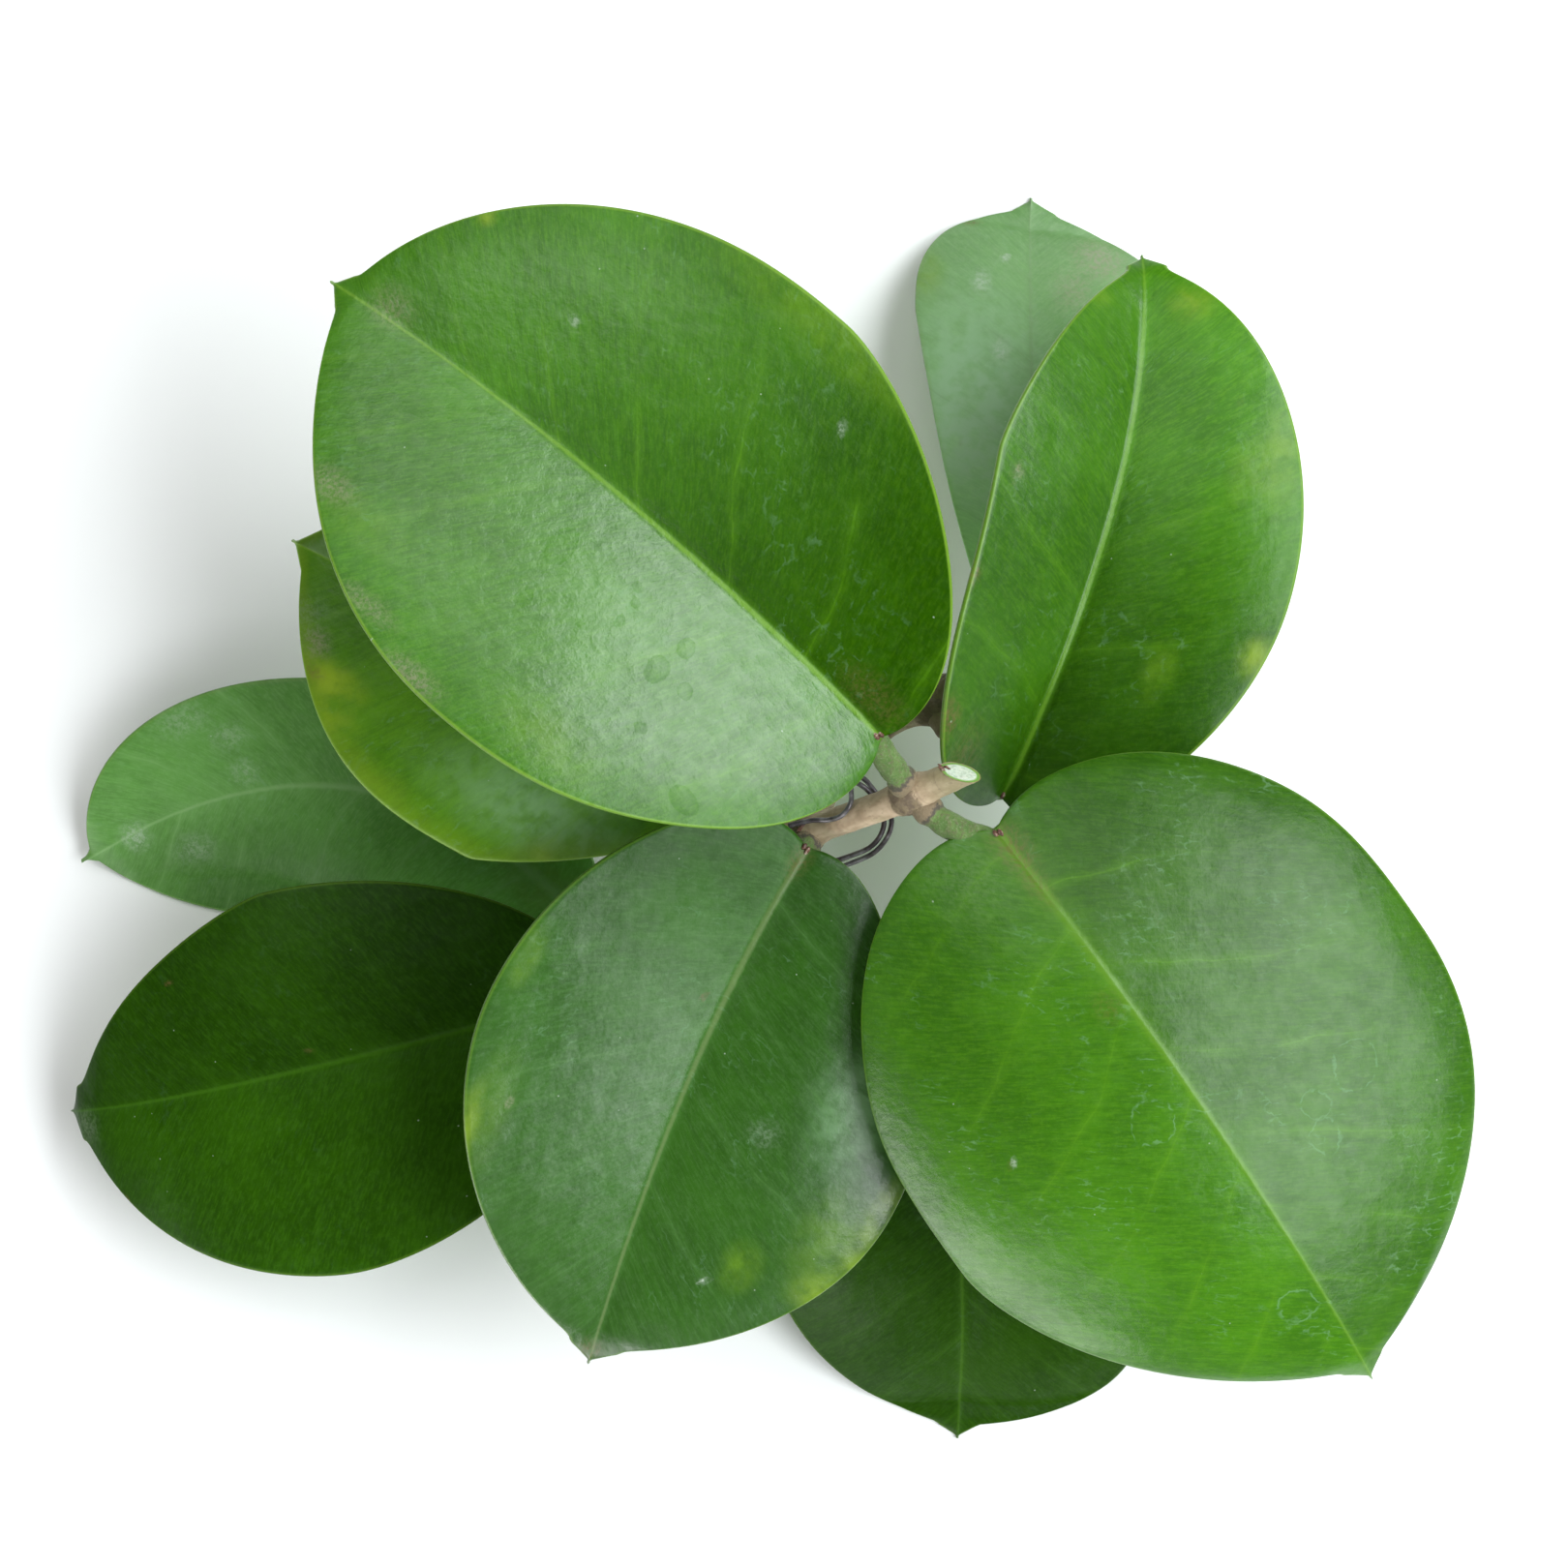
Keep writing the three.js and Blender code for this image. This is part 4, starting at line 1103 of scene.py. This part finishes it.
def swollen(line, radius, nodes):
    """Radius along a shoot that swells at its nodes, and how close each place is to one."""
    near = np.zeros(len(line))
    radii = np.full(len(line), radius)
    for node in nodes:
        distance = np.linalg.norm(line - np.array(node), axis=1)
        closeness = np.exp(-((distance / NODE_HALF_LENGTH) ** 2))
        radii = radii + NODE_SWELLING * closeness
        near = np.maximum(near, closeness)
    return radii, near


def cut_off(points, directions):
    """Slides what lies past the slanting cut back onto its plane, and says which rows it took."""
    facing = unit(np.array(CUT_FACING))
    past = np.maximum((points - np.array(CUT_POINT)) @ facing, 0)
    slant = (directions @ facing)[:, None]
    return points - directions[:, None] * (past / slant)[..., None], past.min(axis=1) > 0


def shoot_patch(path, steps, sides, radius, nodes, seed):
    """The bark of a shoot, lumpy at its nodes."""
    line, directions = spline(path, steps)
    radii, near = swollen(line, radius, nodes)
    lengths = np.r_[0, np.cumsum(np.linalg.norm(np.diff(line, axis=0), axis=1))]
    skin = tube_patch(
        line, directions, radii, sides, 0, seed, ((2.6, 0.12), (0.7, 0.05)), node=near, along=lengths,
    )
    angles = np.linspace(0, 2 * np.pi, sides, endpoint=False)
    skin["marks"]["turn_x"] = np.tile(np.cos(angles) * radius, (len(line), 1))
    skin["marks"]["turn_y"] = np.tile(np.sin(angles) * radius, (len(line), 1))
    points = skin["points"].reshape(len(line), sides, 3)
    out = unit(points - line[:, None])
    knobs = rough(points, 1.1, seed + 5) * 0.16 * near[:, None]
    skin["points"] = (points + out * knobs[..., None]).reshape(-1, 3)
    return skin, directions


def front_stem_patches():
    """The front shoot's bark up to its cut, the cut face, crumbs and bud scales."""
    sides = 44
    skin, directions = shoot_patch(
        FRONT_STEM_PATH, 330, sides, FRONT_STEM_RADIUS, FRONT_STEM_NODES, 90,
    )
    points, taken = cut_off(skin["points"].reshape(-1, sides, 3), directions)
    first = int(np.argmin(taken))
    keep = points[first - 1:]
    marks = {key: values[first - 1:] for key, values in skin["marks"].items()}
    rows = len(keep)
    faces = grid_faces(rows, sides, True) + end_caps(rows, sides)[1:]
    bark = patch(keep, faces, 0, **marks)
    return [bark, cut_patch(keep[0]), *crumb_patches(keep[0]), *scale_patches()]


def cut_patch(edge):
    """The cut face inside the bark's edge, a little domed."""
    facing = unit(np.array(CUT_FACING))
    centre = edge.mean(axis=0)
    shares, heights = np.array(CUT_RINGS).T
    rings = centre + (edge - centre)[None] * shares[:, None, None]
    rings = rings + facing * heights[:, None, None]
    sides = len(edge)
    faces = grid_faces(len(shares), sides, True) + end_caps(len(shares), sides)[1:]
    return patch(rings, faces, 1, spread=np.repeat(shares[:, None], sides, axis=1))


def lump_patch(centre, axes, radii, slot, seed, pale=0.0):
    """A small uneven lump with its own three directions and radii."""
    sides, rows = 16, 9
    height = np.linspace(0.12, np.pi - 0.12, rows)[:, None]
    angle = np.linspace(0, 2 * np.pi, sides, endpoint=False)[None, :]
    ball = np.stack([
        np.sin(height) * np.cos(angle), np.sin(height) * np.sin(angle),
        np.cos(height) + 0 * angle,
    ], axis=-1)
    ball = ball * (1 + 0.3 * rough(ball, 0.8, seed))[..., None] * np.array(radii)
    points = np.array(centre) + ball @ np.array(axes)
    return patch(points, tube_faces(rows, sides), slot, pale=np.full((rows, sides), pale))


def crumb_patches(edge):
    """Dried crumbs at the lower end of the cut."""
    facing = unit(np.array(CUT_FACING))
    low = edge[np.argmin(edge[:, 0])]
    inwards = unit(edge.mean(axis=0) - low)
    sideways = np.cross(facing, inwards)
    crumbs = []
    for number, (inward, aside, size) in enumerate(CRUMBS):
        centre = low + inwards * inward + sideways * aside + facing * 0.1
        crumbs.append(lump_patch(
            centre, (inwards, sideways, facing), (size, size * 0.7, size * 0.5), 2, 200 + number,
        ))
    return crumbs


def scale_patches():
    """Dried bud scales that lie against the shoot by its middle node."""
    scales = []
    for number, (centre, turn, tilt, size, pale) in enumerate(SCALES):
        around, lean = math.radians(turn), math.radians(tilt)
        lengthwise = np.array([math.cos(around), math.sin(around), 0.0])
        sideways = np.array([-math.sin(around), math.cos(around), 0.0])
        upwards = np.cross(lengthwise, sideways)
        sideways = sideways * math.cos(lean) + upwards * math.sin(lean)
        axes = (lengthwise, sideways, np.cross(lengthwise, sideways))
        scales.append(lump_patch(centre, axes, (size, size * 0.55, 0.16), 2, 220 + number, pale))
    return scales


def gland_patches(leaf, seed):
    """Two small dried glands where the petiole meets the blade's upper side."""
    glands = []
    points, tangents = midrib(leaf, np.full(1, GLAND_PLACE))
    level = unit(np.cross(tangents[0], [0.0, 0.0, 1.0]))
    up = np.cross(level, tangents[0])
    for number, (side, forward, long) in enumerate(GLANDS):
        centre = points[0] + up * (THICK_MIDRIB + 0.05) + level * side + tangents[0] * forward
        glands.append(lump_patch(
            centre, (tangents[0], level, up), (long, 0.32, 0.34), 3, seed + number, 0.6,
        ))
    return glands


# Light and floor


def area_light(name, azimuth, height_angle, size, power, color=(1, 1, 1)):
    """A soft light of given width and height that looks at the vine from an azimuth and a height."""
    data = bpy.data.lights.new(name, "AREA")
    data.shape = "RECTANGLE"
    data.size, data.size_y = size
    data.energy = power
    data.color = color
    light = bpy.data.objects.new(name, data)
    around, above = math.radians(azimuth), math.radians(height_angle)
    place = Vector((math.cos(around) * math.cos(above), math.sin(around) * math.cos(above),
                    math.sin(above))) * LIGHT_DISTANCE
    light.matrix_world = Matrix.Translation(place) @ place.to_track_quat("Z", "Y").to_matrix().to_4x4()
    bpy.context.scene.collection.objects.link(light)


def make_floor():
    """The plain pale surface under the vine."""
    mesh = bpy.data.meshes.new("studio_floor")
    reach = FLOOR_REACH
    corners = [(-reach, -reach, 0), (reach, -reach, 0), (reach, reach, 0), (-reach, reach, 0)]
    mesh.from_pydata(corners, [], [(0, 1, 2, 3)])
    graph = Graph("pale_floor")
    graph.set(Base_Color=(0.9, 0.9, 0.9), Roughness=0.9, Specular_IOR_Level=0.1)
    mesh.materials.append(graph.material)
    floor = bpy.data.objects.new("studio_floor", mesh)
    floor.location.z = -FLOOR_DROP
    bpy.context.scene.collection.objects.link(floor)


# Build

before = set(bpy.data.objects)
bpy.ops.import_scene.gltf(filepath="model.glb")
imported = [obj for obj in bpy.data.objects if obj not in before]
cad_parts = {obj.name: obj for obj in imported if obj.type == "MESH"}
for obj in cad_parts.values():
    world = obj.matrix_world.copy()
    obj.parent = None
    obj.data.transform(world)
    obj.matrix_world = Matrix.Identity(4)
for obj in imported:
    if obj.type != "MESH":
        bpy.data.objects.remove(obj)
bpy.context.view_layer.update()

under_side = under_material()
petiole_skin = petiole_material()
gland_skin = gland_material()
for number, leaf in enumerate(LEAVES):
    parts = blade_patches(leaf, number + 1) + [petiole_patch(leaf, number + 60)]
    parts += gland_patches(leaf, 120 + 2 * number)
    make_piece(
        f"grown_{leaf['name']}", parts,
        [upper_material(leaf, number + 1), under_side, petiole_skin, gland_skin],
        [leaf["name"]],
    )

front_bark = stem_material(
    "front_bark", (0.35, 0.25, 0.155), (0.55, 0.42, 0.285), (0.10, 0.07, 0.045), (0.19, 0.145, 0.08),
)
make_piece(
    "grown_stem_front_shoot", front_stem_patches(), [front_bark, cut_material(), gland_skin],
    ["stem_front_shoot"],
)

side_bark = stem_material(
    "side_bark", (0.30, 0.22, 0.14), (0.46, 0.37, 0.26), (0.09, 0.06, 0.035), (0.14, 0.10, 0.06),
)
make_piece(
    "grown_stem_side_shoot",
    [shoot_patch(SIDE_STEM_PATH, 170, 36, SIDE_STEM_RADIUS, (NODE_SIDE,), 97)[0]],
    [side_bark], ["stem_side_shoot"],
)

wire_line, wire_directions = spline(WIRE_PATH, 520)
wire_radii = np.full(len(wire_line), WIRE_RADIUS)
make_piece(
    "bent_wire_tie",
    [tube_patch(wire_line, wire_directions, wire_radii, 14, 0, 99, ((1.2, 0.012),))],
    [wire_material()], ["wire_tie"],
)


# Stage, light and camera

make_floor()
world = bpy.data.worlds.new("studio")
world.use_nodes = True
world.node_tree.nodes["Background"].inputs["Color"].default_value = (1.0, 1.0, 1.0, 1.0)
world.node_tree.nodes["Background"].inputs["Strength"].default_value = WORLD_STRENGTH
bpy.context.scene.world = world
area_light("key_softbox", 2, 52, (1.7, 0.75), 28.0, (0.93, 0.98, 1.0))
area_light("low_softbox", -124, 19, (1.1, 0.45), 7.5)
area_light("back_softbox", 120, 57, (0.85, 0.8), 3.8)

scene = bpy.context.scene
scene.view_settings.view_transform = "Standard"
camera_data = bpy.data.cameras.new("camera")
camera_data.lens = CAMERA_LENS
camera_data.sensor_width = CAMERA_SENSOR
camera_data.clip_start = 0.01
camera = bpy.data.objects.new("camera", camera_data)
camera.location = (Vector((0, 0, CAMERA_HEIGHT)) - Vector(PLAN_CENTRE)) * MM
scene.collection.objects.link(camera)
scene.camera = camera
